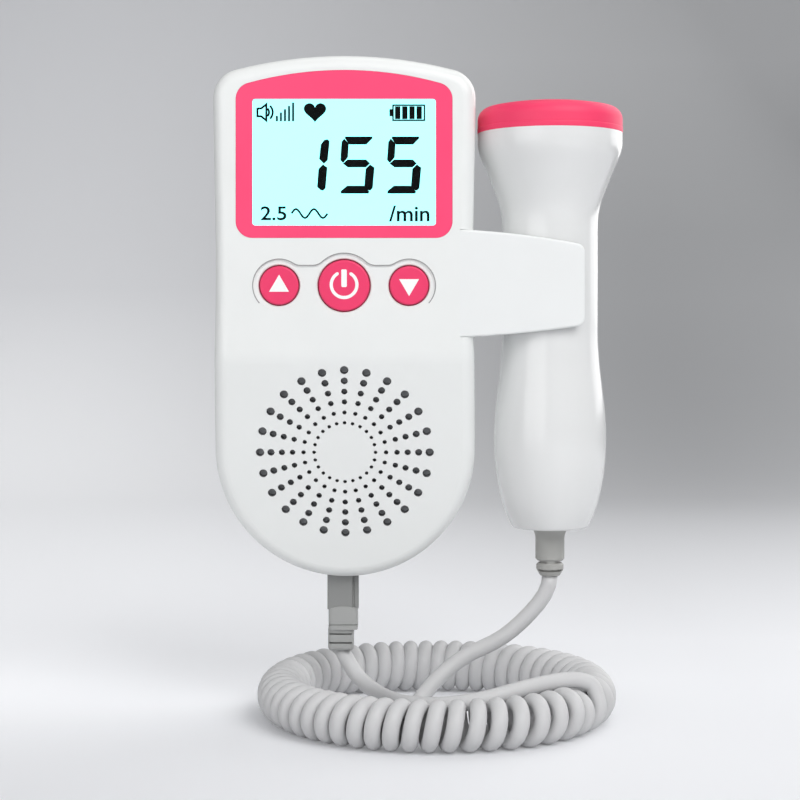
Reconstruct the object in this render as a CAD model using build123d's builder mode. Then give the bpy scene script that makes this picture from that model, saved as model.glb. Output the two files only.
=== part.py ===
"""Fetal doppler monitor: a hand unit with a display, keys and loudspeaker, an
ultrasound probe held in a C-shaped clip at its side, and a curly cord between them.

Millimetres. X runs to the right, Y to the back and Z up. The origin lies on the
flat back of the case, in the middle of its width and height.
"""
from build123d import *
import math
import os

os.makedirs("parts", exist_ok=True)

# ---------------------------------------------------------------- case
case_width = 71.4
case_top_z = 70.7
case_bottom_z = -72.7
case_depth = 33.0
case_wall = 2.2
parting_y = -17.0
crown_radius = 119.0
top_corner_radius = 8.0
waist_inset = 0.7
waist_z = 12.0
front_edge_radius = 3.6
rear_edge_radius = 4.0
crease_z = -11.4
slope_angle = 13.0
crease_radius = 14.0
lip_height = 1.4
lip_clearance = 0.1
cut_reach = 1.0
slope_reach = 20.0

# ---------------------------------------------------------------- display
bezel_side_margin = 6.4
bezel_top_margin = 4.3
bezel_bottom_z = 21.0
bezel_crown_radius = 98.0
bezel_corner_radius = 4.5
bezel_thickness = 1.2
window_side_margin = 4.5
window_foot_margin = 3.4
window_top_margin = 7.8
window_corner_radius = 0.8
lens_thickness = 1.0
panel_margin = 0.5
panel_thickness = 2.0
backlight_margin = 2.0
backlight_thickness = 3.0
fit_gap = 0.1

# ---------------------------------------------------------------- keys
key_row_z = 8.2
key_pitch = 17.55
power_key_diameter = 13.8
volume_key_diameter = 10.5
key_gap = 0.3
key_rim_chamfer = 0.25
key_rise = 0.5
key_edge_radius = 0.5
key_flange = 1.0
key_flange_thickness = 0.8
key_seat_gap = 0.15
key_travel = 0.6
tray_depth = 0.45
tray_side_lobe_radius = 7.0
tray_centre_lobe_radius = 8.6
tray_waist_height = 10.6
tray_blend_radius = 4.0

# ---------------------------------------------------------------- circuit board
board_side_margin = 8.9
board_top_margin = 5.7
board_bottom_z = -3.0
board_thickness = 1.6
board_corner_radius = 4.5
board_boss_diameter = 4.4
board_screw_diameter = 2.0
board_screw_head_diameter = 3.6
board_screw_head_height = 1.2
board_screw_depth = 2.4
board_screw_foot_inset = 3.2
board_screw_side_inset = 2.8
board_screw_top_inset = 2.0
board_screw_corner_inset = 7.8
switch_size = 5.0
switch_height = 1.2
switch_plunger_diameter = 2.2
switch_plunger_gap = 0.05
chip_height = 1.4
chip_layout = [(0.0, 40.0, 12.0, 12.0), (16.0, 22.0, 8.0, 6.0), (-15.0, 24.0, 7.0, 9.0)]

# ---------------------------------------------------------------- loudspeaker
grille_centre_z = -37.3
grille_spokes = 24
grille_ring_radii = [8.4, 11.3, 14.3, 17.2, 20.2, 23.2]
grille_hole_diameters = [1.0, 1.2, 1.5, 1.7, 1.95, 2.3]
cloth_radius = 24.6
cloth_thickness = 0.4
speaker_radius = 24.6
speaker_flange_thickness = 1.2
speaker_cone_depth = 4.0
speaker_cone_thickness = 0.5
speaker_cone_radius = 17.8
speaker_basket_radius = 21.5
speaker_neck_radius = 8.0
magnet_radius = 11.0
magnet_thickness = 4.5
magnet_chamfer = 0.5
speaker_rib_thickness = 1.2
speaker_rib_height = 3.0
speaker_rib_gap = 0.2

# ---------------------------------------------------------------- case screws
case_screw_top_inset = 18.7
case_screw_side_inset = 5.5
case_screw_foot_inset = 20.3
case_screw_foot_side_inset = 11.3
case_screw_diameter = 2.6
case_screw_length = 14.0
case_screw_head_diameter = 4.8
case_screw_head_height = 1.8
case_screw_recess = 5.0
screw_hole_gap = 0.05
rear_post_diameter = 7.6
front_boss_diameter = 6.4
boss_meeting_y = -12.0

# ---------------------------------------------------------------- batteries
cell_diameter = 14.5
cell_length = 50.5
cell_button_diameter = 5.5
cell_button_height = 1.2
cell_edge_radius = 0.6
cell_gap = 0.3
contact_thickness = 0.5
contact_width = 9.0
spring_height = 4.6
spring_radius = 3.2
spring_wire_diameter = 0.8
spring_turns = 3
bay_top_margin = 6.8
bay_wall = 2.5
bay_floor = 1.5

door_thickness = 1.8
door_overlap = 1.8
door_corner_radius = 1.0
door_gap = 0.25
door_seat_gap = 0.1
door_grip_grooves = 5
door_grip_pitch = 2.2
door_grip_width = 14.0
door_grip_groove_width = 0.9
door_grip_depth = 0.5
thumb_notch_radius = 7.0
thumb_notch_depth = 1.2

# ---------------------------------------------------------------- probe and its clip
probe_gap = 1.1
probe_head_radius = 20.2
probe_neck_radius = 13.35
probe_belly_radius = 15.5
probe_foot_radius = 10.4
probe_seam_z = 52.1
probe_head_z = 48.5
probe_neck_top_z = 24.5
probe_neck_bottom_z = -4.0
probe_belly_z = -29.0
probe_foot_z = -58.9
probe_foot_round = 1.2
probe_wall = 2.0
probe_spigot_height = 2.4
probe_spigot_wall = 1.6
cap_top_z = 59.9
cap_dome_radius = 87.0
cap_edge_radius = 3.6
cap_wall = 2.0
face_rim = 6.7
face_flange = 1.8
face_flange_thickness = 1.0
crystal_inset = 2.5
crystal_thickness = 1.2
crystal_split = 1.0
backing_inset = 2.0
backing_thickness = 3.0
probe_board_width = 15.0
probe_board_thickness = 1.2
probe_board_bottom_z = -40.0
probe_board_top_z = 44.0
probe_post_diameter = 3.0
probe_post_levels = [-30.0, 12.0]
probe_board_gap = 0.1

clip_top_z = 23.4
clip_bottom_z = -5.8
clip_tip_reach = 8.1
clip_tip_top_z = 19.3
clip_tip_bottom_z = -2.5
clip_top_bulge = 0.6
clip_bottom_bulge = 0.5
clip_tip_corner_radius = 2.4
clip_bore_gap = 0.55
clip_finger_thickness = 2.1
clip_root_inset = 4.4
clip_tip_setback = 0.8
clip_curve_lead = 3.0
clip_edge_radius = 0.6
clip_flange_margin = 2.6

# ---------------------------------------------------------------- strain relief, socket and plug
cord_diameter = 4.4
relief_spigot_radius = 4.0
relief_spigot_height = 3.0
relief_collar_radius = 5.2
relief_body_radius = 4.05
relief_ring_radius = 3.8
relief_end_radius = 3.5
relief_core_radius = 2.75
relief_length = 13.4
relief_flare_length = 3.2
relief_first_slot = 9.2
relief_second_slot = 11.5
relief_slot_width = 0.65
relief_bridge_width = 2.2
relief_edge = 0.5

plug_x = -1.8
plug_width = 7.1
plug_depth = 8.2
plug_nose_z = -60.5
plug_shoulder_z = -82.4
plug_edge_radius = 0.5
latch_thickness = 1.05
latch_gap = 0.6
latch_width = 5.6
latch_root_length = 3.0
latch_catch_foot_z = -75.0
latch_catch_height = 1.6
boot_collar_shift = 0.85
boot_collar_width = 8.2
boot_collar_depth = 8.8
boot_collar_end_z = -88.2
boot_collar_arch = 0.8
boot_end_z = -94.2
boot_width = 7.2
boot_depth = 7.6
boot_edge_radius = 1.3
boot_ring_groove_z = -87.1
boot_ring_groove_depth = 0.35
boot_slot_levels = [-89.7, -92.2]
boot_slot_margin = 0.4
boot_slot_depth = 1.2
boot_groove_width = 0.5
socket_wall = 1.4
socket_gap = 0.25
socket_bottom_z = -69.6
socket_top_z = -57.0

# ---------------------------------------------------------------- curly cord
floor_z = -111.6
coil_centre_x = 25.25
coil_centre_y = -17.0
coil_mean_radius = 43.2
curl_outer_diameter = 13.5
curl_end_angle = -15.0
curl_sweep_angle = 345.0
arc_share = 0.45
lead_monitor_route = [
    (-1.6, -9.75, -94.2),
    (0.6, -9.95, -98.6),
    (4.2, -12.6, -103.0),
    (9.2, -19.6, -105.0),
    (12.6, -31.0, -103.8),
    (15.8, -43.4, -101.0),
    (23.0, -53.4, -98.6),
    (36.4, -54.4, -96.8),
    (49.6, -45.6, -96.2),
    (58.0, -38.0, -95.7),
    (63.6, -34.4, -96.0),
    (68.4, -33.4, -98.2),
    (71.0, -35.6, -101.8),
    (70.8, -39.6, -104.6),
    (67.6, -43.4, -106.0),
]
lead_probe_route = [
    (63.2, -25.8, -108.2),
    (58.4, -33.8, -109.4),
    (49.4, -43.2, -109.4),
    (38.0, -48.8, -109.4),
    (27.0, -49.9, -109.4),
    (18.4, -41.9, -109.0),
    (18.0, -29.8, -106.8),
    (24.6, -20.8, -99.8),
    (33.0, -17.8, -93.6),
    (43.6, -17.2, -90.4),
    (51.3, -17.0, -86.9),
    (57.0, -17.0, -79.3),
    (57.0, -17.0, -72.3),
]

# ---------------------------------------------------------------- worked-out places
case_half_width = case_width / 2
front_y = -case_depth
inner_front_y = front_y + case_wall
inner_back_y = -case_wall
bezel_width = case_width - 2 * bezel_side_margin
bezel_top_z = case_top_z - bezel_top_margin
bezel_back_y = front_y + bezel_thickness
panel_back_y = bezel_back_y + panel_thickness
board_width = case_width - 2 * board_side_margin
board_top_z = case_top_z - board_top_margin
board_front_y = inner_front_y + backlight_thickness
board_back_y = board_front_y + board_thickness
tray_floor_y = front_y + tray_depth
key_flange_front_y = inner_front_y + key_seat_gap
key_flange_back_y = key_flange_front_y + key_flange_thickness
plunger_tip_y = key_flange_back_y + key_travel + switch_plunger_gap
window_width = bezel_width - 2 * window_side_margin
window_bottom_z = bezel_bottom_z + window_foot_margin
window_top_z = bezel_top_z - window_top_margin
window_height = window_top_z - window_bottom_z
window_centre_z = (window_top_z + window_bottom_z) / 2
board_screw_foot_x = board_width / 2 - board_screw_side_inset
board_screw_top_x = board_width / 2 - board_screw_corner_inset
board_screw_spots = [
    (-board_screw_foot_x, board_bottom_z + board_screw_foot_inset),
    (board_screw_foot_x, board_bottom_z + board_screw_foot_inset),
    (-board_screw_top_x, board_top_z - board_screw_top_inset),
    (board_screw_top_x, board_top_z - board_screw_top_inset),
]
case_screw_top_x = case_half_width - case_screw_side_inset
case_screw_foot_x = case_half_width - case_screw_foot_side_inset
case_screw_spots = [
    (-case_screw_top_x, case_top_z - case_screw_top_inset),
    (case_screw_top_x, case_top_z - case_screw_top_inset),
    (-case_screw_foot_x, case_bottom_z + case_screw_foot_inset),
    (case_screw_foot_x, case_bottom_z + case_screw_foot_inset),
]
bay_width = 2 * cell_diameter + 3 * cell_gap
bay_height = cell_length + spring_height + 2 * contact_thickness + 2 * fit_gap
bay_top_z = case_top_z - bay_top_margin
bay_bottom_z = bay_top_z - bay_height
bay_centre_z = (bay_bottom_z + bay_top_z) / 2
cell_y = -(door_thickness + door_seat_gap + cell_gap + cell_diameter / 2)
bay_floor_y = cell_y - cell_diameter / 2 - cell_gap
cell_x = (cell_diameter + cell_gap) / 2
door_width = bay_width + 2 * door_overlap
door_height = bay_height + 2 * door_overlap
door_bottom_z = bay_bottom_z - door_overlap
clip_bore_radius = probe_neck_radius + clip_bore_gap
clip_height = clip_top_z - clip_bottom_z
probe_x = case_half_width + probe_gap + probe_head_radius
probe_y = front_y + clip_finger_thickness + clip_bore_radius
clip_root_x = case_half_width - clip_root_inset
clip_curve_x = probe_x - clip_curve_lead
clip_tip_x = probe_x + clip_tip_reach
clip_back_y = probe_y + clip_bore_radius + clip_finger_thickness
face_radius = probe_head_radius - face_rim
backing_radius = face_radius - backing_inset
crystal_radius = backing_radius - crystal_inset
relief_end_z = probe_foot_z - relief_length
face_seat_z = cap_top_z - cap_wall - face_flange_thickness
crystal_foot_z = face_seat_z - face_flange_thickness - crystal_thickness
spigot_radius = probe_head_radius - probe_wall
spigot_top_z = probe_seam_z + probe_spigot_height
boot_x = lead_monitor_route[0][0]
boot_collar_x = plug_x + boot_collar_shift
latch_outer_x = plug_x + plug_width / 2 + latch_gap + latch_thickness
socket_x = (plug_x - plug_width / 2 + latch_outer_x) / 2
socket_bore_width = latch_outer_x - plug_x + plug_width / 2 + 2 * socket_gap
socket_bore_depth = plug_depth + 2 * socket_gap
coil_level_z = floor_z + curl_outer_diameter / 2

slope_tangent = math.tan(math.radians(slope_angle))
slope_cosine = math.cos(math.radians(slope_angle))
foot_front_y = front_y + case_wall / slope_cosine + (crease_z - socket_bottom_z) * slope_tangent
plug_y = (foot_front_y + inner_back_y) / 2
grille_face_y = front_y + (crease_z - grille_centre_z) * slope_tangent
grille_plane = Plane(
    origin=(0, grille_face_y, grille_centre_z),
    x_dir=(1, 0, 0),
    z_dir=(0, -slope_cosine, -math.sin(math.radians(slope_angle))),
)
speaker_plane = grille_plane.offset(-case_wall - cloth_thickness)
probe_plane = Plane(origin=(probe_x, probe_y, 0), x_dir=(1, 0, 0), z_dir=(0, -1, 0))
probe_axis = Axis((probe_x, probe_y, 0), (0, 0, 1))


def finish(part, name):
    """Label a finished piece and write it."""
    part.label = name
    export_step(part, f"parts/{name}.step")


def case_outline(inset, y=0.0):
    """Front outline of the case, with an arched top, a faint waist and a round foot."""
    half = case_half_width - inset
    arch_radius = crown_radius - inset
    arch_z = case_top_z - inset
    shoulder_z = arch_z - arch_radius + math.sqrt(arch_radius**2 - half**2)
    round_z = case_bottom_z + case_half_width
    with BuildSketch(Plane.XZ.offset(-y)) as outline:
        with BuildLine():
            ThreePointArc((-half, shoulder_z), (0, arch_z), (half, shoulder_z))
            Spline(
                (half, shoulder_z),
                (half - waist_inset, waist_z),
                (half, round_z),
                tangents=[(0, -1), (0, -1)],
            )
            ThreePointArc((half, round_z), (0, round_z - half), (-half, round_z))
            Spline(
                (-half, round_z),
                (-half + waist_inset, waist_z),
                (-half, shoulder_z),
                tangents=[(0, 1), (0, 1)],
            )
        make_face()
        fillet(outline.vertices().group_by(Axis.Y)[-1], radius=top_corner_radius - inset)
    return outline.sketch


def bezel_outline(inset):
    """Outline of the display surround: straight sides and foot, arched top."""
    half = bezel_width / 2
    crown_drop = bezel_crown_radius - math.sqrt(bezel_crown_radius**2 - half**2)
    with BuildSketch(Plane.XZ.offset(-bezel_back_y)) as outline:
        with BuildLine():
            Polyline(
                (-half, bezel_top_z - crown_drop),
                (-half, bezel_bottom_z),
                (half, bezel_bottom_z),
                (half, bezel_top_z - crown_drop),
            )
            ThreePointArc(
                (half, bezel_top_z - crown_drop), (0, bezel_top_z), (-half, bezel_top_z - crown_drop)
            )
        make_face()
        fillet(outline.vertices(), radius=bezel_corner_radius)
        if inset:
            offset(amount=-inset)
    return outline.sketch


def slope_section(shift):
    """Side view of what the sloping lower face leaves out in front of it."""
    run = crease_z - case_bottom_z + slope_reach
    with BuildSketch(Plane.YZ) as section:
        with BuildLine():
            Polyline(
                (front_y + shift, crease_z),
                (front_y + shift + run * slope_tangent, crease_z - run),
                (front_y - slope_reach, crease_z - run),
                (front_y - slope_reach, crease_z),
                close=True,
            )
        make_face()
    return section.sketch


def key_tray_outline():
    """Wavy tray round the three keys."""
    with BuildSketch(Plane.XZ.offset(-front_y)) as outline:
        with Locations((0, key_row_z)):
            Circle(tray_centre_lobe_radius)
            Rectangle(2 * key_pitch, tray_waist_height)
        with Locations((-key_pitch, key_row_z), (key_pitch, key_row_z)):
            Circle(tray_side_lobe_radius)
        fillet(outline.vertices(), radius=tray_blend_radius)
    return outline.sketch


def clip_outline(y=0.0):
    """Front view of the probe clip, which narrows towards its tip."""
    span = clip_tip_x - clip_root_x
    middle_x = clip_root_x + span / 2
    with BuildSketch(Plane.XZ.offset(-y)) as outline:
        with BuildLine():
            ThreePointArc(
                (clip_root_x, clip_top_z),
                (middle_x, (clip_top_z + clip_tip_top_z) / 2 + clip_top_bulge),
                (clip_tip_x, clip_tip_top_z),
            )
            Line((clip_tip_x, clip_tip_top_z), (clip_tip_x, clip_tip_bottom_z))
            ThreePointArc(
                (clip_tip_x, clip_tip_bottom_z),
                (middle_x, (clip_bottom_z + clip_tip_bottom_z) / 2 - clip_bottom_bulge),
                (clip_root_x, clip_bottom_z),
            )
            Line((clip_root_x, clip_bottom_z), (clip_root_x, clip_top_z))
        make_face()
        fillet(outline.vertices().group_by(Axis.X)[-1], radius=clip_tip_corner_radius)
    return outline.sketch


def probe_section(inset, top_z, foot_z):
    """Half section of the probe's body: wide head, straight neck, full belly, narrow foot."""
    head = probe_head_radius - inset
    neck = probe_neck_radius - inset
    belly = probe_belly_radius - inset
    foot = probe_foot_radius - inset
    head_drop = probe_head_z - probe_neck_top_z
    with BuildSketch(probe_plane) as section:
        with BuildLine():
            Line((0, top_z), (head, top_z))
            Line((head, top_z), (head, probe_head_z))
            Spline(
                (head, probe_head_z),
                (neck + 0.72 * (head - neck), probe_head_z - 0.28 * head_drop),
                (neck + 0.30 * (head - neck), probe_head_z - 0.58 * head_drop),
                (neck, probe_neck_top_z),
                tangents=[(0, -1), (0, -1)],
            )
            Line((neck, probe_neck_top_z), (neck, probe_neck_bottom_z))
            Spline(
                (neck, probe_neck_bottom_z),
                (belly, probe_belly_z),
                (foot, foot_z),
                tangents=[(0, -1), (-0.55, -1)],
            )
            Line((foot, foot_z), (0, foot_z))
            Line((0, foot_z), (0, top_z))
        make_face()
    return section.sketch


def cord_path(route):
    """Runs joined by arcs, each as large as its two runs allow."""
    points = [Vector(*point) for point in route]
    radii = []
    for before, corner, after in zip(points, points[1:], points[2:]):
        first_run = corner - before
        second_run = after - corner
        half_turn = math.radians(first_run.get_angle(second_run)) / 2
        radii.append(arc_share * min(first_run.length, second_run.length) / math.tan(half_turn))
    with BuildLine() as path:
        FilletPolyline(*points, radius=radii)
    line = path.wire()
    print("cord radii", [round(radius, 1) for radius in radii], "length", round(line.length, 1))
    return line


# ---------------------------------------------------------------- case bodies
with BuildPart() as case_envelope:
    extrude(case_outline(0), amount=case_depth)
    extrude(slope_section(0), amount=case_width, both=True, mode=Mode.SUBTRACT)
    crease = case_envelope.edges().filter_by(Axis.X).sort_by(Axis.Y)[0]
    fillet(crease, radius=crease_radius)
    rear_rim = case_envelope.faces().sort_by(Axis.Y)[-1].edges()
    fillet(rear_rim, radius=rear_edge_radius)
    front_faces = case_envelope.faces().filter_by(
        lambda face: face.normal_at(face.center()).Y < -0.9
    )
    front_rim = [
        edge
        for edge in front_faces.edges()
        if sum(1 for face in front_faces if edge in face.edges()) == 1
    ]
    fillet(front_rim, radius=front_edge_radius)

with BuildPart() as case_cavity:
    extrude(case_outline(case_wall, inner_back_y), amount=case_depth - 2 * case_wall)
    extrude(slope_section(case_wall / slope_cosine), amount=case_width, both=True, mode=Mode.SUBTRACT)

with BuildPart() as clip_notch:
    extrude(clip_outline(parting_y), amount=case_depth)

# ---------------------------------------------------------------- front shell
with BuildPart() as front_bosses:
    with BuildSketch(Plane.XZ.offset(-boss_meeting_y)):
        with Locations(*case_screw_spots):
            Circle(front_boss_diameter / 2)
    extrude(amount=case_depth)
    with BuildSketch(Plane.XZ.offset(-board_front_y)):
        with Locations(*board_screw_spots):
            Circle(board_boss_diameter / 2)
    extrude(amount=case_depth)
    with BuildSketch(grille_plane.offset(-case_wall)):
        Circle(speaker_radius + speaker_rib_gap + speaker_rib_thickness)
        Circle(speaker_radius + speaker_rib_gap, mode=Mode.SUBTRACT)
    extrude(amount=-speaker_rib_height)
    extrude(slope_section(case_wall / 2), amount=case_width, both=True, mode=Mode.SUBTRACT)
    with BuildSketch(Plane.XZ.offset(-(inner_front_y + boss_meeting_y) / 2)):
        Rectangle(2 * case_width, 3 * case_width)
    extrude(
        amount=abs(inner_front_y - boss_meeting_y) / 2 + fit_gap, both=True, mode=Mode.INTERSECT
    )

with BuildPart() as front_shell:
    add(case_envelope.part)
    add(case_cavity.part, mode=Mode.SUBTRACT)
    split(bisect_by=Plane.XZ.offset(-parting_y), keep=Keep.TOP)
    extrude(
        case_outline(case_wall / 2), amount=lip_height + lip_clearance - parting_y, mode=Mode.SUBTRACT
    )
    add(front_bosses.part)
    extrude(bezel_outline(0), amount=bezel_thickness, mode=Mode.SUBTRACT)
    with BuildSketch(Plane.XZ.offset(-front_y)):
        with Locations((0, window_centre_z)):
            Rectangle(window_width + 2 * panel_margin, window_height + 2 * panel_margin)
    extrude(amount=-case_wall - cut_reach, mode=Mode.SUBTRACT)
    extrude(key_tray_outline(), amount=-tray_depth, mode=Mode.SUBTRACT)
    with BuildSketch(Plane.XZ.offset(-front_y)):
        with Locations((0, key_row_z)):
            Circle(power_key_diameter / 2 + key_gap)
        with Locations((-key_pitch, key_row_z), (key_pitch, key_row_z)):
            Circle(volume_key_diameter / 2 + key_gap)
    extrude(amount=-case_wall - cut_reach, mode=Mode.SUBTRACT)
    key_rims = [
        edge
        for edge in front_shell.edges().filter_by(GeomType.CIRCLE)
        if edge.is_closed and abs(edge.center().Y - tray_floor_y) < fit_gap
    ]
    chamfer(key_rims, length=key_rim_chamfer)
    with BuildSketch(grille_plane):
        for ring_radius, hole_diameter in zip(grille_ring_radii, grille_hole_diameters):
            with PolarLocations(ring_radius, grille_spokes):
                Circle(hole_diameter / 2)
    extrude(amount=-case_wall - cut_reach, mode=Mode.SUBTRACT)
    with BuildSketch(Plane.XZ.offset(-boss_meeting_y)):
        with Locations(*case_screw_spots):
            Circle(case_screw_diameter / 2 + screw_hole_gap)
    extrude(amount=case_screw_length - case_screw_recess, mode=Mode.SUBTRACT)
    with BuildSketch(Plane.XZ.offset(-board_front_y)):
        with Locations(*board_screw_spots):
            Circle(board_screw_diameter / 2 + screw_hole_gap)
    extrude(amount=board_screw_depth, mode=Mode.SUBTRACT)
    add(clip_notch.part, mode=Mode.SUBTRACT)
finish(front_shell.part, "front_shell")

# ---------------------------------------------------------------- rear shell and battery door
with BuildPart() as rear_lip:
    lip_root_y = parting_y + case_wall
    extrude(case_outline(case_wall / 2 + lip_clearance, lip_root_y), amount=case_wall + lip_height)
    extrude(
        case_outline(case_wall, lip_root_y), amount=case_wall + lip_height, mode=Mode.SUBTRACT
    )
    add(clip_notch.part, mode=Mode.SUBTRACT)

with BuildPart() as rear_shell:
    add(case_envelope.part)
    add(case_cavity.part, mode=Mode.SUBTRACT)
    split(bisect_by=Plane.XZ.offset(-parting_y), keep=Keep.BOTTOM)
    add(rear_lip.part)
    with BuildSketch(Plane.XZ.offset(case_wall / 2)):
        with Locations((0, bay_centre_z)):
            Rectangle(bay_width + 2 * bay_wall, bay_height + 2 * bay_wall)
    extrude(amount=-bay_floor_y + bay_floor - case_wall / 2)
    with BuildSketch(Plane.XZ):
        with Locations((0, bay_centre_z)):
            Rectangle(bay_width, bay_height)
    extrude(amount=-bay_floor_y, mode=Mode.SUBTRACT)
    with BuildSketch(Plane.XZ):
        with Locations((0, bay_centre_z)):
            Rectangle(door_width + 2 * door_gap, door_height + 2 * door_gap)
    extrude(amount=door_thickness + door_seat_gap, mode=Mode.SUBTRACT)
    with BuildSketch(Plane.XZ):
        with Locations((0, door_bottom_z + door_height)):
            Circle(thumb_notch_radius)
    extrude(amount=thumb_notch_depth, mode=Mode.SUBTRACT)
    with BuildSketch(Plane.XZ.offset(case_wall / 2)):
        with Locations(*case_screw_spots):
            Circle(rear_post_diameter / 2)
    extrude(amount=-boss_meeting_y - case_wall / 2)
    add(case_envelope.part, mode=Mode.INTERSECT)
    with BuildSketch(Plane.XZ):
        with Locations(*case_screw_spots):
            Circle(case_screw_head_diameter / 2 + door_gap)
    extrude(amount=case_screw_recess, mode=Mode.SUBTRACT)
    with BuildSketch(Plane.XZ):
        with Locations(*case_screw_spots):
            Circle(case_screw_diameter / 2 + door_gap)
    extrude(amount=-boss_meeting_y, mode=Mode.SUBTRACT)
    with BuildSketch(Plane.XY.offset(socket_bottom_z)):
        with Locations((socket_x, plug_y)):
            Rectangle(socket_bore_width, socket_bore_depth)
    extrude(amount=-case_wall - socket_wall, mode=Mode.SUBTRACT)
finish(rear_shell.part, "rear_shell")

with BuildPart() as battery_door:
    with BuildSketch(Plane.XZ):
        with Locations((0, door_bottom_z + door_height / 2)):
            Rectangle(door_width, door_height)
    extrude(amount=door_thickness)
    hinge_edges = battery_door.edges().filter_by(Axis.X).group_by(Axis.Z)[0]
    fillet(hinge_edges, radius=door_thickness / 2 - 0.01)
    upright_edges = battery_door.edges().filter_by(Axis.Y).group_by(Axis.Z)[-1]
    fillet(upright_edges, radius=door_corner_radius)
    with BuildSketch(Plane.XZ):
        grip_z = door_bottom_z + door_height - 3 * door_grip_pitch
        with Locations((0, grip_z)):
            with GridLocations(0, door_grip_pitch, 1, door_grip_grooves):
                SlotOverall(door_grip_width, door_grip_groove_width)
    extrude(amount=door_grip_depth, mode=Mode.SUBTRACT)
finish(battery_door.part, "battery_door")

with BuildPart() as case_screws:
    with BuildSketch(Plane.XZ.offset(case_screw_recess)):
        with Locations(*case_screw_spots):
            Circle(case_screw_diameter / 2)
    extrude(amount=case_screw_length - screw_hole_gap)
    with BuildSketch(Plane.XZ.offset(case_screw_recess)):
        with Locations(*case_screw_spots):
            Circle(case_screw_head_diameter / 2)
    extrude(amount=-case_screw_head_height)
finish(case_screws.part, "case_screws")

# ---------------------------------------------------------------- display pieces
with BuildPart() as display_bezel:
    extrude(bezel_outline(fit_gap / 2), amount=bezel_thickness)
    with BuildSketch(Plane.XZ.offset(-bezel_back_y)):
        with Locations((0, window_centre_z)):
            RectangleRounded(window_width, window_height, window_corner_radius)
    extrude(amount=bezel_thickness, mode=Mode.SUBTRACT)
finish(display_bezel.part, "display_bezel")

with BuildPart() as display_lens:
    with BuildSketch(Plane.XZ.offset(-bezel_back_y)):
        with Locations((0, window_centre_z)):
            RectangleRounded(window_width - fit_gap, window_height - fit_gap, window_corner_radius)
    extrude(amount=lens_thickness)
finish(display_lens.part, "display_lens")

with BuildPart() as lcd_panel:
    with BuildSketch(Plane.XZ.offset(-panel_back_y)):
        with Locations((0, window_centre_z)):
            Rectangle(
                window_width + 2 * panel_margin - 2 * fit_gap,
                window_height + 2 * panel_margin - 2 * fit_gap,
            )
    extrude(amount=panel_thickness)
finish(lcd_panel.part, "lcd_panel")

with BuildPart() as lcd_backlight:
    with BuildSketch(Plane.XZ.offset(-board_front_y)):
        with Locations((0, window_centre_z)):
            Rectangle(window_width + 2 * backlight_margin, window_height + 2 * backlight_margin)
    extrude(amount=backlight_thickness)
    with BuildSketch(Plane.XZ.offset(-panel_back_y)):
        with Locations((0, window_centre_z)):
            Rectangle(window_width + 2 * panel_margin, window_height + 2 * panel_margin)
    extrude(amount=panel_thickness, mode=Mode.SUBTRACT)
finish(lcd_backlight.part, "lcd_backlight")

# ---------------------------------------------------------------- circuit board and what it carries
with BuildPart() as main_board:
    with BuildSketch(Plane.XZ.offset(-board_back_y)) as board_outline:
        with Locations((0, (board_bottom_z + board_top_z) / 2)):
            Rectangle(board_width, board_top_z - board_bottom_z)
        fillet(board_outline.vertices().group_by(Axis.Y)[-1], radius=board_corner_radius)
        with Locations(*board_screw_spots):
            Circle(board_screw_diameter / 2 + screw_hole_gap, mode=Mode.SUBTRACT)
    extrude(amount=board_thickness)
finish(main_board.part, "main_board")

with BuildPart() as board_chips:
    for chip_x, chip_z, chip_width, chip_length in chip_layout:
        with BuildSketch(Plane.XZ.offset(-board_back_y - chip_height)):
            with Locations((chip_x, chip_z)):
                Rectangle(chip_width, chip_length)
        extrude(amount=chip_height)
finish(board_chips.part, "board_chips")

with BuildPart() as tact_switches:
    for key_x in (-key_pitch, 0, key_pitch):
        with BuildSketch(Plane.XZ.offset(-board_front_y)):
            with Locations((key_x, key_row_z)):
                Rectangle(switch_size, switch_size)
        extrude(amount=switch_height)
        with BuildSketch(Plane.XZ.offset(-board_front_y)):
            with Locations((key_x, key_row_z)):
                Circle(switch_plunger_diameter / 2)
        extrude(amount=board_front_y - plunger_tip_y)
finish(tact_switches.part, "tact_switches")

with BuildPart() as board_screws:
    with BuildSketch(Plane.XZ.offset(-board_back_y)):
        with Locations(*board_screw_spots):
            Circle(board_screw_diameter / 2)
    extrude(amount=board_thickness + board_screw_depth - screw_hole_gap)
    with BuildSketch(Plane.XZ.offset(-board_back_y)):
        with Locations(*board_screw_spots):
            Circle(board_screw_head_diameter / 2)
    extrude(amount=-board_screw_head_height)
finish(board_screws.part, "board_screws")


# ---------------------------------------------------------------- keys
def key_part(key_x, diameter):
    """One key: a rounded cap with a flange behind the wall, over its switch."""
    with BuildPart() as key:
        with BuildSketch(Plane.XZ.offset(-key_flange_front_y)):
            with Locations((key_x, key_row_z)):
                Circle(diameter / 2)
        extrude(amount=key_flange_front_y - front_y - tray_depth + key_rise)
        fillet(key.edges().sort_by(Axis.Y)[0], radius=key_edge_radius)
        with BuildSketch(Plane.XZ.offset(-key_flange_front_y)):
            with Locations((key_x, key_row_z)):
                Circle(diameter / 2 + key_flange)
        extrude(amount=-key_flange_thickness)
    return key.part


finish(key_part(0, power_key_diameter), "power_button")
finish(key_part(-key_pitch, volume_key_diameter), "volume_up_button")
finish(key_part(key_pitch, volume_key_diameter), "volume_down_button")

# ---------------------------------------------------------------- loudspeaker
with BuildPart() as speaker_cloth:
    with BuildSketch(grille_plane.offset(-case_wall)):
        Circle(cloth_radius)
    extrude(amount=-cloth_thickness)
finish(speaker_cloth.part, "speaker_cloth")

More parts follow.
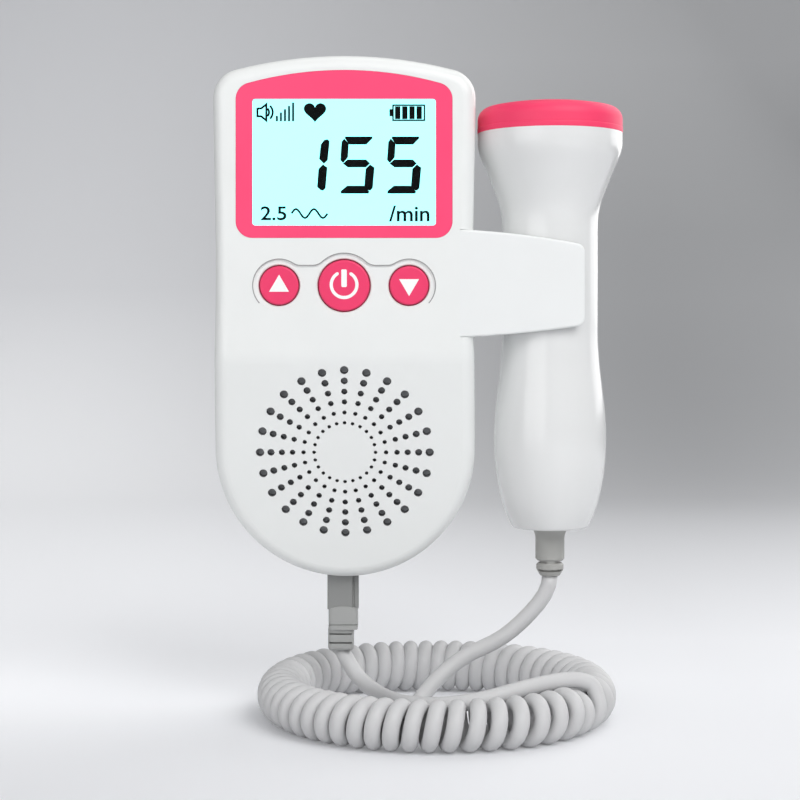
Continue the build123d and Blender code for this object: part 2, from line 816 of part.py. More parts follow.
with BuildPart() as speaker_frame:
    with BuildSketch(Plane(speaker_plane.origin, x_dir=(1, 0, 0), z_dir=speaker_plane.y_dir)):
        with BuildLine():
            depth = speaker_cone_depth + speaker_flange_thickness
            wall = speaker_flange_thickness
            Polyline(
                (speaker_radius, 0),
                (speaker_radius, wall),
                (speaker_basket_radius, wall),
                (speaker_neck_radius + wall, depth + wall),
                (speaker_neck_radius - wall, depth + wall),
                (speaker_neck_radius - wall, depth),
                (speaker_neck_radius, depth),
                (speaker_basket_radius - wall, 0),
                close=True,
            )
        make_face()
    revolve(axis=Axis(speaker_plane.origin, speaker_plane.z_dir))
finish(speaker_frame.part, "speaker_frame")

with BuildPart() as speaker_cone:
    with BuildSketch(Plane(speaker_plane.origin, x_dir=(1, 0, 0), z_dir=speaker_plane.y_dir)):
        with BuildLine():
            voice_radius = speaker_neck_radius - speaker_cone_thickness
            paper = speaker_cone_thickness
            Polyline(
                (0, speaker_cone_depth),
                (voice_radius, speaker_cone_depth),
                (speaker_cone_radius, fit_gap),
                (speaker_cone_radius, fit_gap + paper),
                (voice_radius, speaker_cone_depth + paper),
                (0, speaker_cone_depth + paper),
                close=True,
            )
        make_face()
    revolve(axis=Axis(speaker_plane.origin, speaker_plane.z_dir))
finish(speaker_cone.part, "speaker_cone")

with BuildPart() as speaker_magnet:
    with BuildSketch(speaker_plane.offset(-speaker_cone_depth - 2 * speaker_flange_thickness)):
        Circle(magnet_radius)
    extrude(amount=-magnet_thickness)
    chamfer(speaker_magnet.edges().filter_by(GeomType.CIRCLE), length=magnet_chamfer)
finish(speaker_magnet.part, "speaker_magnet")


# ---------------------------------------------------------------- batteries and contacts
def cell_part(x, upward):
    """One cell standing in the bay, its button end up or down."""
    foot_z = bay_bottom_z + contact_thickness + fit_gap
    body_length = cell_length - cell_button_height
    if upward:
        base = Plane(origin=(x, cell_y, foot_z + spring_height), z_dir=(0, 0, 1))
    else:
        base = Plane(origin=(x, cell_y, foot_z + cell_length), z_dir=(0, 0, -1))
    with BuildPart() as cell:
        with BuildSketch(base):
            Circle(cell_diameter / 2)
        extrude(amount=body_length)
        fillet(cell.edges().filter_by(GeomType.CIRCLE), radius=cell_edge_radius)
        with BuildSketch(base.offset(body_length)):
            Circle(cell_button_diameter / 2)
        extrude(amount=cell_button_height)
    return cell.part


finish(cell_part(-cell_x, True), "battery_left")
finish(cell_part(cell_x, False), "battery_right")

with BuildPart() as battery_contacts:
    for level in (bay_bottom_z, bay_top_z - contact_thickness):
        with BuildSketch(Plane.XY.offset(level)):
            with Locations((-cell_x, cell_y), (cell_x, cell_y)):
                Rectangle(contact_width, contact_width)
        extrude(amount=contact_thickness)
finish(battery_contacts.part, "battery_contacts")

with BuildPart() as battery_springs:
    wire_radius = spring_wire_diameter / 2
    coil_height = spring_height - spring_wire_diameter - fit_gap
    for coil_x, coil_foot in (
        (-cell_x, bay_bottom_z + contact_thickness + wire_radius + fit_gap / 2),
        (cell_x, bay_top_z - contact_thickness - wire_radius - fit_gap / 2 - coil_height),
    ):
        with BuildLine() as coil:
            Helix(
                pitch=coil_height / spring_turns,
                height=coil_height,
                radius=spring_radius,
                center=(coil_x, cell_y, coil_foot),
            )
        with BuildSketch(Plane(origin=coil.line @ 0, z_dir=coil.line % 0)):
            Circle(wire_radius)
        sweep(path=coil.line, is_frenet=True)
finish(battery_springs.part, "battery_springs")

# ---------------------------------------------------------------- probe clip
with BuildPart() as case_without_notch:
    add(case_envelope.part)
    add(clip_notch.part, mode=Mode.SUBTRACT)

with BuildPart() as clip_flange:
    with BuildSketch(Plane.XY.offset(clip_bottom_z - clip_flange_margin)):
        with Locations((clip_root_x + case_half_width, (parting_y + front_y) / 2)):
            Rectangle(case_width, parting_y - front_y - 2 * lip_height)
    extrude(amount=clip_height + 2 * clip_flange_margin)
    add(case_cavity.part, mode=Mode.INTERSECT)

with BuildPart() as probe_clip:
    with BuildSketch(Plane.XY.offset(clip_bottom_z)):
        bore_front_y = probe_y - clip_bore_radius
        bore_back_y = probe_y + clip_bore_radius
        tip_front_y = front_y + clip_tip_setback
        with BuildLine():
            Line((clip_root_x, front_y), (clip_curve_x, front_y))
            TangentArc((clip_curve_x, front_y), (clip_tip_x, tip_front_y), tangent=(1, 0))
            Polyline((clip_tip_x, tip_front_y), (clip_tip_x, bore_front_y), (probe_x, bore_front_y))
            ThreePointArc(
                (probe_x, bore_front_y), (probe_x - clip_bore_radius, probe_y), (probe_x, bore_back_y)
            )
            Polyline(
                (probe_x, bore_back_y),
                (clip_tip_x, bore_back_y),
                (clip_tip_x, clip_back_y),
                (clip_root_x, clip_back_y),
                (clip_root_x, front_y),
            )
        make_face()
    extrude(amount=clip_height)
    extrude(clip_outline(clip_back_y), amount=clip_back_y - front_y, mode=Mode.INTERSECT)
    long_edges = [
        edge
        for edge in probe_clip.edges()
        if edge.center().Y < tip_front_y and edge.length > clip_height / 2
        and not edge.is_interior and abs(edge.tangent_at(0.5).Z) < 0.5
    ]
    fillet(long_edges, radius=clip_edge_radius)
    add(case_without_notch.part, mode=Mode.SUBTRACT)
    add(clip_flange.part)
finish(probe_clip.part, "probe_clip")

# ---------------------------------------------------------------- probe shells
with BuildPart() as probe_envelope:
    revolve(probe_section(0, probe_seam_z, probe_foot_z), axis=probe_axis)
    foot_edge = probe_envelope.edges().filter_by(GeomType.CIRCLE).sort_by(Axis.Z)[0]
    fillet(foot_edge, radius=probe_foot_round)

with BuildPart() as probe_body:
    add(probe_envelope.part)
    revolve(
        probe_section(probe_wall, probe_seam_z, probe_foot_z + probe_wall),
        axis=probe_axis,
        mode=Mode.SUBTRACT,
    )
    with BuildSketch(Plane.XY.offset(probe_head_z)):
        with Locations((probe_x, probe_y)):
            Circle(spigot_radius + probe_wall / 2)
            Circle(spigot_radius - probe_spigot_wall, mode=Mode.SUBTRACT)
    extrude(amount=probe_spigot_height)
    with BuildSketch(Plane.XY.offset(probe_head_z)):
        with Locations((probe_x, probe_y)):
            Circle(spigot_radius)
            Circle(spigot_radius - probe_spigot_wall, mode=Mode.SUBTRACT)
    extrude(amount=spigot_top_z - probe_head_z)
    with BuildSketch(Plane.XY.offset(probe_foot_z)):
        with Locations((probe_x, probe_y)):
            Circle(relief_spigot_radius + fit_gap)
    extrude(amount=probe_wall + cut_reach, mode=Mode.SUBTRACT)

with BuildPart() as probe_posts:
    with BuildSketch(probe_plane.offset(-probe_head_radius)):
        with Locations(*[(0, level) for level in probe_post_levels]):
            Circle(probe_post_diameter / 2)
    extrude(amount=2 * probe_head_radius)
    with BuildSketch(Plane.XY.offset(probe_foot_z)):
        with Locations((probe_x, probe_y)):
            Rectangle(2 * probe_head_radius, probe_board_thickness + 2 * probe_board_gap)
    extrude(amount=probe_seam_z - probe_foot_z, mode=Mode.SUBTRACT)
    add(probe_envelope.part, mode=Mode.INTERSECT)

with BuildPart() as probe_front_shell:
    add(probe_body.part)
    add(probe_posts.part)
    split(bisect_by=Plane.XZ.offset(-probe_y), keep=Keep.TOP)
finish(probe_front_shell.part, "probe_front_shell")

with BuildPart() as probe_rear_shell:
    add(probe_body.part)
    add(probe_posts.part)
    split(bisect_by=Plane.XZ.offset(-probe_y), keep=Keep.BOTTOM)
finish(probe_rear_shell.part, "probe_rear_shell")


# ---------------------------------------------------------------- probe head and inside
def dome_z(radius):
    """Height of the probe's domed top at this distance from its axis."""
    return cap_top_z - cap_dome_radius + math.sqrt(cap_dome_radius**2 - radius**2)


with BuildPart() as probe_cap:
    opening_radius = face_radius + fit_gap
    flange_bore_radius = face_radius + face_flange + fit_gap
    spigot_bore_radius = spigot_radius + fit_gap
    with BuildSketch(probe_plane) as cap_section:
        with BuildLine():
            RadiusArc(
                (opening_radius, dome_z(opening_radius)),
                (probe_head_radius, dome_z(probe_head_radius)),
                cap_dome_radius,
            )
            Polyline(
                (probe_head_radius, dome_z(probe_head_radius)),
                (probe_head_radius, probe_seam_z),
                (spigot_bore_radius, probe_seam_z),
                (spigot_bore_radius, spigot_top_z + fit_gap),
                (flange_bore_radius, spigot_top_z + fit_gap),
                (flange_bore_radius, face_seat_z),
                (opening_radius, face_seat_z),
                (opening_radius, dome_z(opening_radius)),
            )
        make_face()
        rim_corner = cap_section.vertices().group_by(Axis.X)[-1].sort_by(Axis.Y)[-1]
        fillet(rim_corner, radius=cap_edge_radius)
    revolve(axis=probe_axis)
finish(probe_cap.part, "probe_cap")

with BuildPart() as probe_face:
    with BuildSketch(probe_plane):
        with BuildLine():
            RadiusArc((0, cap_top_z), (face_radius, dome_z(face_radius)), cap_dome_radius)
            Polyline(
                (face_radius, dome_z(face_radius)),
                (face_radius, face_seat_z),
                (face_radius + face_flange, face_seat_z),
                (face_radius + face_flange, face_seat_z - face_flange_thickness),
                (0, face_seat_z - face_flange_thickness),
                (0, cap_top_z),
            )
        make_face()
    revolve(axis=probe_axis)
finish(probe_face.part, "probe_face")

with BuildPart() as transducer_crystals:
    with BuildSketch(Plane.XY.offset(crystal_foot_z)):
        with Locations((probe_x, probe_y)):
            Circle(crystal_radius)
            Rectangle(crystal_split, 2 * crystal_radius, mode=Mode.SUBTRACT)
    extrude(amount=crystal_thickness)
finish(transducer_crystals.part, "transducer_crystals")

with BuildPart() as transducer_backing:
    with BuildSketch(Plane.XY.offset(crystal_foot_z - backing_thickness)):
        with Locations((probe_x, probe_y)):
            Circle(backing_radius)
    extrude(amount=backing_thickness)
finish(transducer_backing.part, "transducer_backing")

with BuildPart() as probe_board:
    with BuildSketch(Plane.XY.offset(probe_board_bottom_z)):
        with Locations((probe_x, probe_y)):
            Rectangle(probe_board_width, probe_board_thickness)
    extrude(amount=probe_board_top_z - probe_board_bottom_z)
finish(probe_board.part, "probe_board")

with BuildPart() as probe_strain_relief:
    first_slot_z = probe_foot_z - relief_first_slot
    second_slot_z = probe_foot_z - relief_second_slot
    with BuildSketch(probe_plane) as relief_section:
        with BuildLine():
            Polyline(
                (0, relief_end_z),
                (0, probe_foot_z + relief_spigot_height),
                (relief_spigot_radius, probe_foot_z + relief_spigot_height),
                (relief_spigot_radius, probe_foot_z),
                (relief_collar_radius, probe_foot_z),
            )
            TangentArc(
                (relief_body_radius, probe_foot_z - relief_flare_length),
                (relief_collar_radius, probe_foot_z),
                tangent=(0, 1),
            )
            Polyline(
                (relief_body_radius, probe_foot_z - relief_flare_length),
                (relief_body_radius, first_slot_z + relief_edge),
                (relief_body_radius - relief_edge, first_slot_z),
                (relief_ring_radius - relief_edge, first_slot_z - relief_slot_width),
                (relief_ring_radius, first_slot_z - relief_slot_width - relief_edge),
                (relief_ring_radius, second_slot_z),
                (relief_end_radius, second_slot_z - relief_slot_width),
                (relief_core_radius, relief_end_z),
                (0, relief_end_z),
            )
        make_face()
    revolve(axis=probe_axis)
    for slot_z, turn in ((first_slot_z, 0), (second_slot_z, 90)):
        with BuildSketch(Plane.XY.offset(slot_z - relief_slot_width)):
            with Locations(Location((probe_x, probe_y, 0), (0, 0, turn))):
                Circle(relief_collar_radius)
                Circle(relief_core_radius, mode=Mode.SUBTRACT)
                Rectangle(relief_bridge_width, 2 * relief_collar_radius, mode=Mode.SUBTRACT)
        extrude(amount=relief_slot_width, mode=Mode.SUBTRACT)
finish(probe_strain_relief.part, "probe_strain_relief")

# ---------------------------------------------------------------- cord socket and plug
with BuildPart() as cord_socket:
    with BuildSketch(Plane.XY.offset(socket_bottom_z)):
        with Locations((socket_x, plug_y)):
            Rectangle(socket_bore_width + 2 * socket_wall, socket_bore_depth + 2 * socket_wall)
    extrude(amount=socket_top_z - socket_bottom_z)
    with BuildSketch(Plane.XY.offset(socket_bottom_z)):
        with Locations((socket_x, plug_y)):
            Rectangle(socket_bore_width, socket_bore_depth)
    extrude(amount=plug_nose_z + socket_gap - socket_bottom_z, mode=Mode.SUBTRACT)
finish(cord_socket.part, "cord_socket")

with BuildPart() as plug_body:
    with BuildSketch(Plane.XY.offset(plug_shoulder_z)):
        with Locations((plug_x, plug_y)):
            RectangleRounded(plug_width, plug_depth, plug_edge_radius)
    extrude(amount=plug_nose_z - plug_shoulder_z)
    with BuildSketch(Plane.XY.offset(plug_shoulder_z)):
        with Locations((latch_outer_x - latch_thickness / 2, plug_y)):
            Rectangle(latch_thickness, latch_width)
    extrude(amount=plug_nose_z - plug_shoulder_z)
    with BuildSketch(Plane.XY.offset(plug_nose_z)):
        with Locations((latch_outer_x - latch_thickness - latch_gap, plug_y)):
            Rectangle(2 * latch_gap + plug_edge_radius, latch_width)
    extrude(amount=-latch_root_length)
    with BuildSketch(Plane.XZ.offset(-plug_y)):
        with BuildLine():
            Polyline(
                (latch_outer_x - latch_thickness, latch_catch_foot_z),
                (latch_outer_x - latch_thickness - latch_gap / 2, latch_catch_foot_z),
                (latch_outer_x - latch_thickness, latch_catch_foot_z + latch_catch_height),
                close=True,
            )
        make_face()
    extrude(amount=latch_width / 2, both=True)
finish(plug_body.part, "plug_body")

with BuildPart() as plug_boot:
    with BuildSketch(Plane.XY.offset(boot_collar_end_z)):
        with Locations((boot_collar_x, plug_y)):
            RectangleRounded(boot_collar_width, boot_collar_depth, boot_edge_radius)
    extrude(amount=plug_shoulder_z + boot_collar_arch - boot_collar_end_z)
    with BuildSketch(Plane.XZ.offset(-plug_y)):
        with BuildLine():
            ThreePointArc(
                (boot_collar_x - boot_collar_width / 2, plug_shoulder_z),
                (boot_collar_x, plug_shoulder_z + boot_collar_arch),
                (boot_collar_x + boot_collar_width / 2, plug_shoulder_z),
            )
            Polyline(
                (boot_collar_x + boot_collar_width / 2, plug_shoulder_z),
                (boot_collar_x + boot_collar_width / 2, boot_collar_end_z),
                (boot_collar_x - boot_collar_width / 2, boot_collar_end_z),
                (boot_collar_x - boot_collar_width / 2, plug_shoulder_z),
            )
        make_face()
    extrude(amount=boot_collar_depth, both=True, mode=Mode.INTERSECT)
    add(plug_body.part, mode=Mode.SUBTRACT)
    with BuildSketch(Plane.XY.offset(boot_ring_groove_z)):
        with Locations((boot_collar_x, plug_y)):
            Rectangle(2 * boot_collar_width, 2 * boot_collar_depth)
            RectangleRounded(
                boot_collar_width - 2 * boot_ring_groove_depth,
                boot_collar_depth - 2 * boot_ring_groove_depth,
                boot_edge_radius - boot_ring_groove_depth,
                mode=Mode.SUBTRACT,
            )
    extrude(amount=boot_groove_width, mode=Mode.SUBTRACT)
    with BuildSketch(Plane.XY.offset(boot_end_z)):
        with Locations((boot_x, plug_y)):
            RectangleRounded(boot_width, boot_depth, boot_edge_radius)
    extrude(amount=boot_collar_end_z - boot_end_z)
    boot_tip = plug_boot.faces().sort_by(Axis.Z)[0]
    fillet(boot_tip.edges(), radius=boot_edge_radius * 0.7)
    for level in boot_slot_levels:
        with BuildSketch(Plane.XY.offset(level)):
            with Locations((boot_x, plug_y)):
                Rectangle(boot_width - 2 * boot_slot_margin, 2 * boot_depth)
                Rectangle(boot_width, boot_depth - 2 * boot_slot_depth, mode=Mode.SUBTRACT)
        extrude(amount=boot_groove_width, mode=Mode.SUBTRACT)
finish(plug_boot.part, "plug_boot")

# ---------------------------------------------------------------- cord
with BuildPart() as cord_curl:
    with Locations(Location((coil_centre_x, coil_centre_y, coil_level_z), (0, 0, curl_end_angle))):
        Torus(coil_mean_radius, curl_outer_diameter / 2, major_angle=curl_sweep_angle)
finish(cord_curl.part, "cord_curl")


def lead_part(route):
    """A plain tube along one straight lead of the cord."""
    path = cord_path(route)
    with BuildPart() as lead:
        with BuildSketch(Plane(origin=path @ 0, z_dir=path % 0)):
            Circle(cord_diameter / 2)
        sweep(path=path)
    print("tube volume", round(lead.part.volume), "section by length",
          round(math.pi * (cord_diameter / 2) ** 2 * path.length))
    return lead.part


finish(lead_part(lead_monitor_route), "cord_lead_monitor")
finish(lead_part(lead_probe_route), "cord_lead_probe")
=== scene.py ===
"""Looks of the fetal doppler monitor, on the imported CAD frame."""

import math
import random

import bmesh
import bpy
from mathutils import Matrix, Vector


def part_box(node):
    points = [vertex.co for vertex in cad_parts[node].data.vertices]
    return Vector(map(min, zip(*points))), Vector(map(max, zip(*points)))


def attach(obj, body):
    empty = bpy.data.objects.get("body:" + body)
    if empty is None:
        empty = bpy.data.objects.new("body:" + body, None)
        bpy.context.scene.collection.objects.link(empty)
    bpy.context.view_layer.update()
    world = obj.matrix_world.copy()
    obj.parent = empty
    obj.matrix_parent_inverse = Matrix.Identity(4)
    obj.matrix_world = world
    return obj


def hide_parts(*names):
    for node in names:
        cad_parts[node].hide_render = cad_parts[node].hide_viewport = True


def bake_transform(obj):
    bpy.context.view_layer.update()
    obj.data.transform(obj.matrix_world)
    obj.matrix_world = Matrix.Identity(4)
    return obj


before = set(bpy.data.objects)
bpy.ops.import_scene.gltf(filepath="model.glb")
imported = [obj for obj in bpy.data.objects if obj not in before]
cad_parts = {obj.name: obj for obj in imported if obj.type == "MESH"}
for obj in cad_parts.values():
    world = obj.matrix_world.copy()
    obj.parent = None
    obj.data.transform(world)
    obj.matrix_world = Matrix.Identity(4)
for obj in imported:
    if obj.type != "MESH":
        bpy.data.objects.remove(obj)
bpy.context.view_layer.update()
MM = 0.001


# ---------------------------------------------------------------- camera
EYE = (15.1, -483.0, -4.1)
LENS_PIXELS = 1667.0
PICTURE_SIZE = 800.0
PICTURE_CENTRE = PICTURE_SIZE / 2
EYE_LEVEL = 331.0
SENSOR_WIDTH = 36.0
CLIP_START = 0.02

camera_data = bpy.data.cameras.new("camera")
camera_data.sensor_width = SENSOR_WIDTH
camera_data.lens = LENS_PIXELS * SENSOR_WIDTH / PICTURE_SIZE
camera_data.shift_y = -(PICTURE_CENTRE - EYE_LEVEL) / PICTURE_SIZE
camera_data.clip_start = CLIP_START
camera = bpy.data.objects.new("camera", camera_data)
camera.location = [v * MM for v in EYE]
camera.rotation_euler = (math.radians(90), 0, 0)
bpy.context.collection.objects.link(camera)
bpy.context.scene.camera = camera


def seen_at(px, py, y):
    """Place in millimetres of a picture point, on the upright plane at depth y."""
    scale = (y - EYE[1]) / LENS_PIXELS
    return (EYE[0] + (px - PICTURE_CENTRE) * scale, EYE[2] - (py - EYE_LEVEL) * scale)


# ---------------------------------------------------------------- shader nodes
def srgb(r, g, b):
    """Linear colour of an 8-bit screen colour."""
    return tuple(
        v / 12.92 if v <= 0.04045 else ((v + 0.055) / 1.055) ** 2.4
        for v in (r / 255, g / 255, b / 255)
    )


def new_material(name):
    """Material that is made of nodes."""
    material = bpy.data.materials.new(name)
    material.use_nodes = True
    return material


def shader_of(material):
    """The node that all of a material's looks end in."""
    return material.node_tree.nodes["Principled BSDF"]


def own_place(tree):
    """Place of each point in the piece's own axes."""
    return tree.nodes.new("ShaderNodeTexCoord").outputs["Object"]


def noise(tree, place, scale, detail):
    """Soft noise that is fixed to the piece."""
    cloud = tree.nodes.new("ShaderNodeTexNoise")
    cloud.inputs["Scale"].default_value = scale
    cloud.inputs["Detail"].default_value = detail
    tree.links.new(place, cloud.inputs["Vector"])
    return cloud.outputs["Fac"]


def measured(tree, place, operation, vector):
    """Dot product or distance of a place and a fixed vector."""
    node = tree.nodes.new("ShaderNodeVectorMath")
    node.operation = operation
    node.inputs[1].default_value = vector
    tree.links.new(place, node.inputs[0])
    return node.outputs["Value"]


def ramped(tree, value, low, high, curve="LINEAR"):
    """Share that runs from 0 to 1 as the value runs from low to high."""
    span = tree.nodes.new("ShaderNodeMapRange")
    span.interpolation_type = curve
    span.inputs["From Min"].default_value = low
    span.inputs["From Max"].default_value = high
    tree.links.new(value, span.inputs["Value"])
    return span.outputs["Result"]


def product(tree, first, second):
    """A value times another value or a plain number."""
    times = tree.nodes.new("ShaderNodeMath")
    times.operation = "MULTIPLY"
    tree.links.new(first, times.inputs[0])
    if isinstance(second, float):
        times.inputs[1].default_value = second
    else:
        tree.links.new(second, times.inputs[1])
    return times.outputs["Value"]


def mixed(tree, share, first, second):
    """Blend of two colours by share, each of them made by nodes or a plain one."""
    mix = tree.nodes.new("ShaderNodeMix")
    mix.data_type = "RGBA"
    tree.links.new(share, mix.inputs[0])
    for socket, colour in ((mix.inputs[6], first), (mix.inputs[7], second)):
        if isinstance(colour, tuple):
            socket.default_value = (*colour, 1)
        else:
            tree.links.new(colour, socket)
    return mix.outputs[2]


# ---------------------------------------------------------------- finishes
COAT_ROUGH = 0.12
LEAST_ROUGH = 0.02
MOTTLE_DETAIL, MOTTLE_FROM, MOTTLE_TO = 4.0, 0.3, 0.7
GRAIN_DETAIL, GRAIN_STRENGTH = 3.0, 0.35


def finish(
    name,
    colour,
    rough=0.35,
    spread=0.03,
    grain=1400.0,
    depth=0.01,
    metallic=0.0,
    coat=0.0,
    ior=1.5,
    mottle=60.0,
    rough_spread=0.06,
):
    """A moulded, coated or metal finish: faint mottle, a fine grain and uneven gloss."""
    material = new_material(name)
    tree, shader = material.node_tree, shader_of(material)
    shader.inputs["Metallic"].default_value = metallic
    shader.inputs["IOR"].default_value = ior
    shader.inputs["Coat Weight"].default_value = coat
    shader.inputs["Coat Roughness"].default_value = COAT_ROUGH
    place = own_place(tree)
    cloud = noise(tree, place, mottle, MOTTLE_DETAIL)
    ramp = tree.nodes.new("ShaderNodeValToRGB")
    stops = ramp.color_ramp.elements
    stops[0].position = MOTTLE_FROM
    stops[1].position = MOTTLE_TO
    stops[0].color = (*[v * (1 - spread) for v in colour], 1)
    stops[1].color = (*[min(1.0, v * (1 + spread)) for v in colour], 1)
    gloss = tree.nodes.new("ShaderNodeMapRange")
    gloss.inputs["To Min"].default_value = max(LEAST_ROUGH, rough - rough_spread)
    gloss.inputs["To Max"].default_value = min(1.0, rough + rough_spread)
    bump = tree.nodes.new("ShaderNodeBump")
    bump.inputs["Strength"].default_value = GRAIN_STRENGTH
    bump.inputs["Distance"].default_value = depth * MM
    link = tree.links.new
    link(cloud, ramp.inputs["Fac"])
    link(ramp.outputs["Color"], shader.inputs["Base Color"])
    link(cloud, gloss.inputs["Value"])
    link(gloss.outputs["Result"], shader.inputs["Roughness"])
    link(noise(tree, place, grain, GRAIN_DETAIL), bump.inputs["Height"])
    link(bump.outputs["Normal"], shader.inputs["Normal"])
    return material


# Screen colour of each finish, and what sets it apart from plain moulded plastic.
FINISHES = {
    "shell_white": ((236, 238, 238), {"rough": 0.36, "spread": 0.008, "coat": 0.25}),
    # The front shell's white, with painted shade on the walls of its speaker holes.
    "front_white_painted_hole_shade": ((236, 238, 237), {"rough": 0.36, "spread": 0.008, "coat": 0.25}),
    "probe_white": ((229, 230, 230), {"rough": 0.22, "spread": 0.006, "coat": 0.6}),
    "bezel_pink": ((254, 73, 121), {"rough": 0.32, "spread": 0.01}),
    "key_pink": ((240, 54, 106), {"rough": 0.42, "spread": 0.015}),
    "cap_pink": ((247, 59, 105), {"rough": 0.5, "spread": 0.01}),
    "icon_white": ((250, 250, 250), {"rough": 0.5, "spread": 0.01}),
    "segment_black": ((8, 9, 11), {"rough": 0.6, "spread": 0.1, "ior": 1.12}),
    "cord_grey": (
        (204, 204, 205),
        {"rough": 0.46, "spread": 0.02, "mottle": 180.0, "depth": 0.02},
    ),
    "boot_grey": ((168, 169, 168), {"rough": 0.5, "spread": 0.02}),
    "plug_grey": ((142, 143, 142), {"rough": 0.34, "spread": 0.02, "coat": 0.2}),
    "relief_grey": ((168, 168, 165), {"rough": 0.5, "spread": 0.02}),
    "socket_grey": ((60, 60, 62), {"rough": 0.5}),
    "cloth_grey": (
        (186, 188, 191),
        {"rough": 0.9, "spread": 0.12, "grain": 5200.0, "depth": 0.08},
    ),
    "speaker_black": ((42, 42, 44), {"rough": 0.4}),
    "paper_black": ((38, 37, 36), {"rough": 0.85, "spread": 0.1}),
    "steel": ((190, 191, 194), {"rough": 0.3, "metallic": 1.0, "mottle": 400.0}),
    "contact_metal": ((214, 212, 206), {"rough": 0.2, "metallic": 1.0}),
    "board_green": ((26, 104, 62), {"rough": 0.38, "spread": 0.06, "coat": 0.3}),
    "chip_black": ((28, 28, 30), {"rough": 0.55}),
    "cell_sleeve": ((84, 92, 108), {"rough": 0.3, "coat": 0.3}),
    "acoustic_face": ((224, 225, 224), {"rough": 0.4, "spread": 0.01}),
    "crystal": ((205, 190, 160), {"rough": 0.6}),
    "backing": ((70, 70, 72), {"rough": 0.8}),
    "guide_white": ((232, 236, 236), {"rough": 0.4}),
    # Grey of the painted shade line along the tray's edge.
    "tray_shade_grey": ((150, 150, 151), {"rough": 0.6, "spread": 0.02}),
    "lens_clear": (
        (250, 255, 255),
        {"rough": 0.06, "spread": 0.0, "depth": 0.0, "ior": 1.3, "rough_spread": 0.02},
    ),
    "lcd_glow": ((196, 250, 252), {"rough": 0.5, "spread": 0.006}),
}
look = {name: finish(name, srgb(*colour), **traits) for name, (colour, traits) in FINISHES.items()}

# The lens is clear and the display behind it is lit.
LCD_LIGHT = srgb(206, 255, 255)
LCD_STRENGTH = 0.57
shader_of(look["lens_clear"]).inputs["Transmission Weight"].default_value = 1.0
lcd_shader = shader_of(look["lcd_glow"])
lcd_shader.inputs["Emission Color"].default_value = (*LCD_LIGHT, 1)
lcd_shader.inputs["Emission Strength"].default_value = LCD_STRENGTH

# The front's flat upper face, and the crease from which its lower face slopes back.
FRONT_Y = -33.0
CREASE_Z = -11.4
SLOPE = math.radians(13)
SLOPE_OFFSET = (FRONT_Y * math.cos(SLOPE) + CREASE_Z * math.sin(SLOPE)) * MM
# Painted shade on the speaker holes' walls: from the first depth, full at the second, near the
# grille.
PAINTED_HOLE_SHADE = srgb(96, 97, 99)
SHADE_STARTS, SHADE_FULL = 0.10, 0.40
GRILLE_CENTRE = (0.0, -27.02 * MM, -37.3 * MM)
GRILLE_EDGE, GRILLE_FULL = 25.0, 24.6


def shade_holes(material):
    """Paints shade onto a finish, on the walls of the speaker holes behind the sloping face."""
    tree, shader = material.node_tree, shader_of(material)
    plain = shader.inputs["Base Color"].links[0].from_socket
    place = own_place(tree)
    inward = measured(tree, place, "DOT_PRODUCT", (0, math.cos(SLOPE), math.sin(SLOPE)))
    across = measured(tree, place, "DISTANCE", GRILLE_CENTRE)
    deep = ramped(tree, inward, SLOPE_OFFSET + SHADE_STARTS * MM, SLOPE_OFFSET + SHADE_FULL * MM)
    near = ramped(tree, across, GRILLE_EDGE * MM, GRILLE_FULL * MM)
    shaded = mixed(tree, product(tree, deep, near), plain, PAINTED_HOLE_SHADE)
    tree.links.new(shaded, shader.inputs["Base Color"])


# Painted shade in the front shell's speaker holes.
shade_holes(look["front_white_painted_hole_shade"])

NODE_FINISH = {
    # White with painted shade in its speaker holes.
    "front_shell": "front_white_painted_hole_shade",
    "rear_shell": "shell_white",
    "battery_door": "shell_white",
    "probe_clip": "shell_white",
    "case_screws": "steel",
    "board_screws": "steel",
    "display_bezel": "bezel_pink",
    "display_lens": "lens_clear",
    "lcd_panel": "lcd_glow",
    "lcd_backlight": "guide_white",
    "main_board": "board_green",
    "probe_board": "board_green",
    "board_chips": "chip_black",
    "tact_switches": "chip_black",
    "power_button": "key_pink",
    "volume_up_button": "key_pink",
    "volume_down_button": "key_pink",
    "speaker_cloth": "cloth_grey",
    "speaker_frame": "speaker_black",
    "speaker_cone": "paper_black",
    "speaker_magnet": "steel",
    "battery_left": "cell_sleeve",
    "battery_right": "cell_sleeve",
    "battery_contacts": "contact_metal",
    "battery_springs": "contact_metal",
    "probe_front_shell": "probe_white",
    "probe_rear_shell": "probe_white",
    "probe_cap": "cap_pink",
    "probe_face": "acoustic_face",
    "transducer_crystals": "crystal",
    "transducer_backing": "backing",
    "probe_strain_relief": "relief_grey",
    "cord_socket": "socket_grey",
    "plug_body": "plug_grey",
    "plug_boot": "boot_grey",
}
for node, finish_name in NODE_FINISH.items():
    for material_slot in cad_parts[node].material_slots:
        material_slot.material = look[finish_name]


# ---------------------------------------------------------------- new pieces
def placed(name, build, material):
    """New object with the faces of build, all in one material."""
    mesh = bpy.data.meshes.new(name)
    build.to_mesh(mesh)
    build.free()
    mesh.materials.append(material)
    piece = bpy.data.objects.new(name, mesh)
    bpy.context.collection.objects.link(piece)
    return piece


def riding(name, build, finish_name, body):
    """New piece that takes its finish and moves with a body."""
    piece = placed(name, build, look[finish_name])
    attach(piece, body)


def raised(name, build, lift, finish_name, body):
    """Piece made of the flat faces in build, given a thickness of lift towards the viewer."""
    moved = bmesh.ops.extrude_face_region(build, geom=list(build.faces))["geom"]
    corners = [v for v in moved if isinstance(v, bmesh.types.BMVert)]
    bmesh.ops.translate(build, verts=corners, vec=(0, -lift * MM, 0))
    bmesh.ops.recalc_face_normals(build, faces=build.faces)
    riding(name, build, finish_name, body)


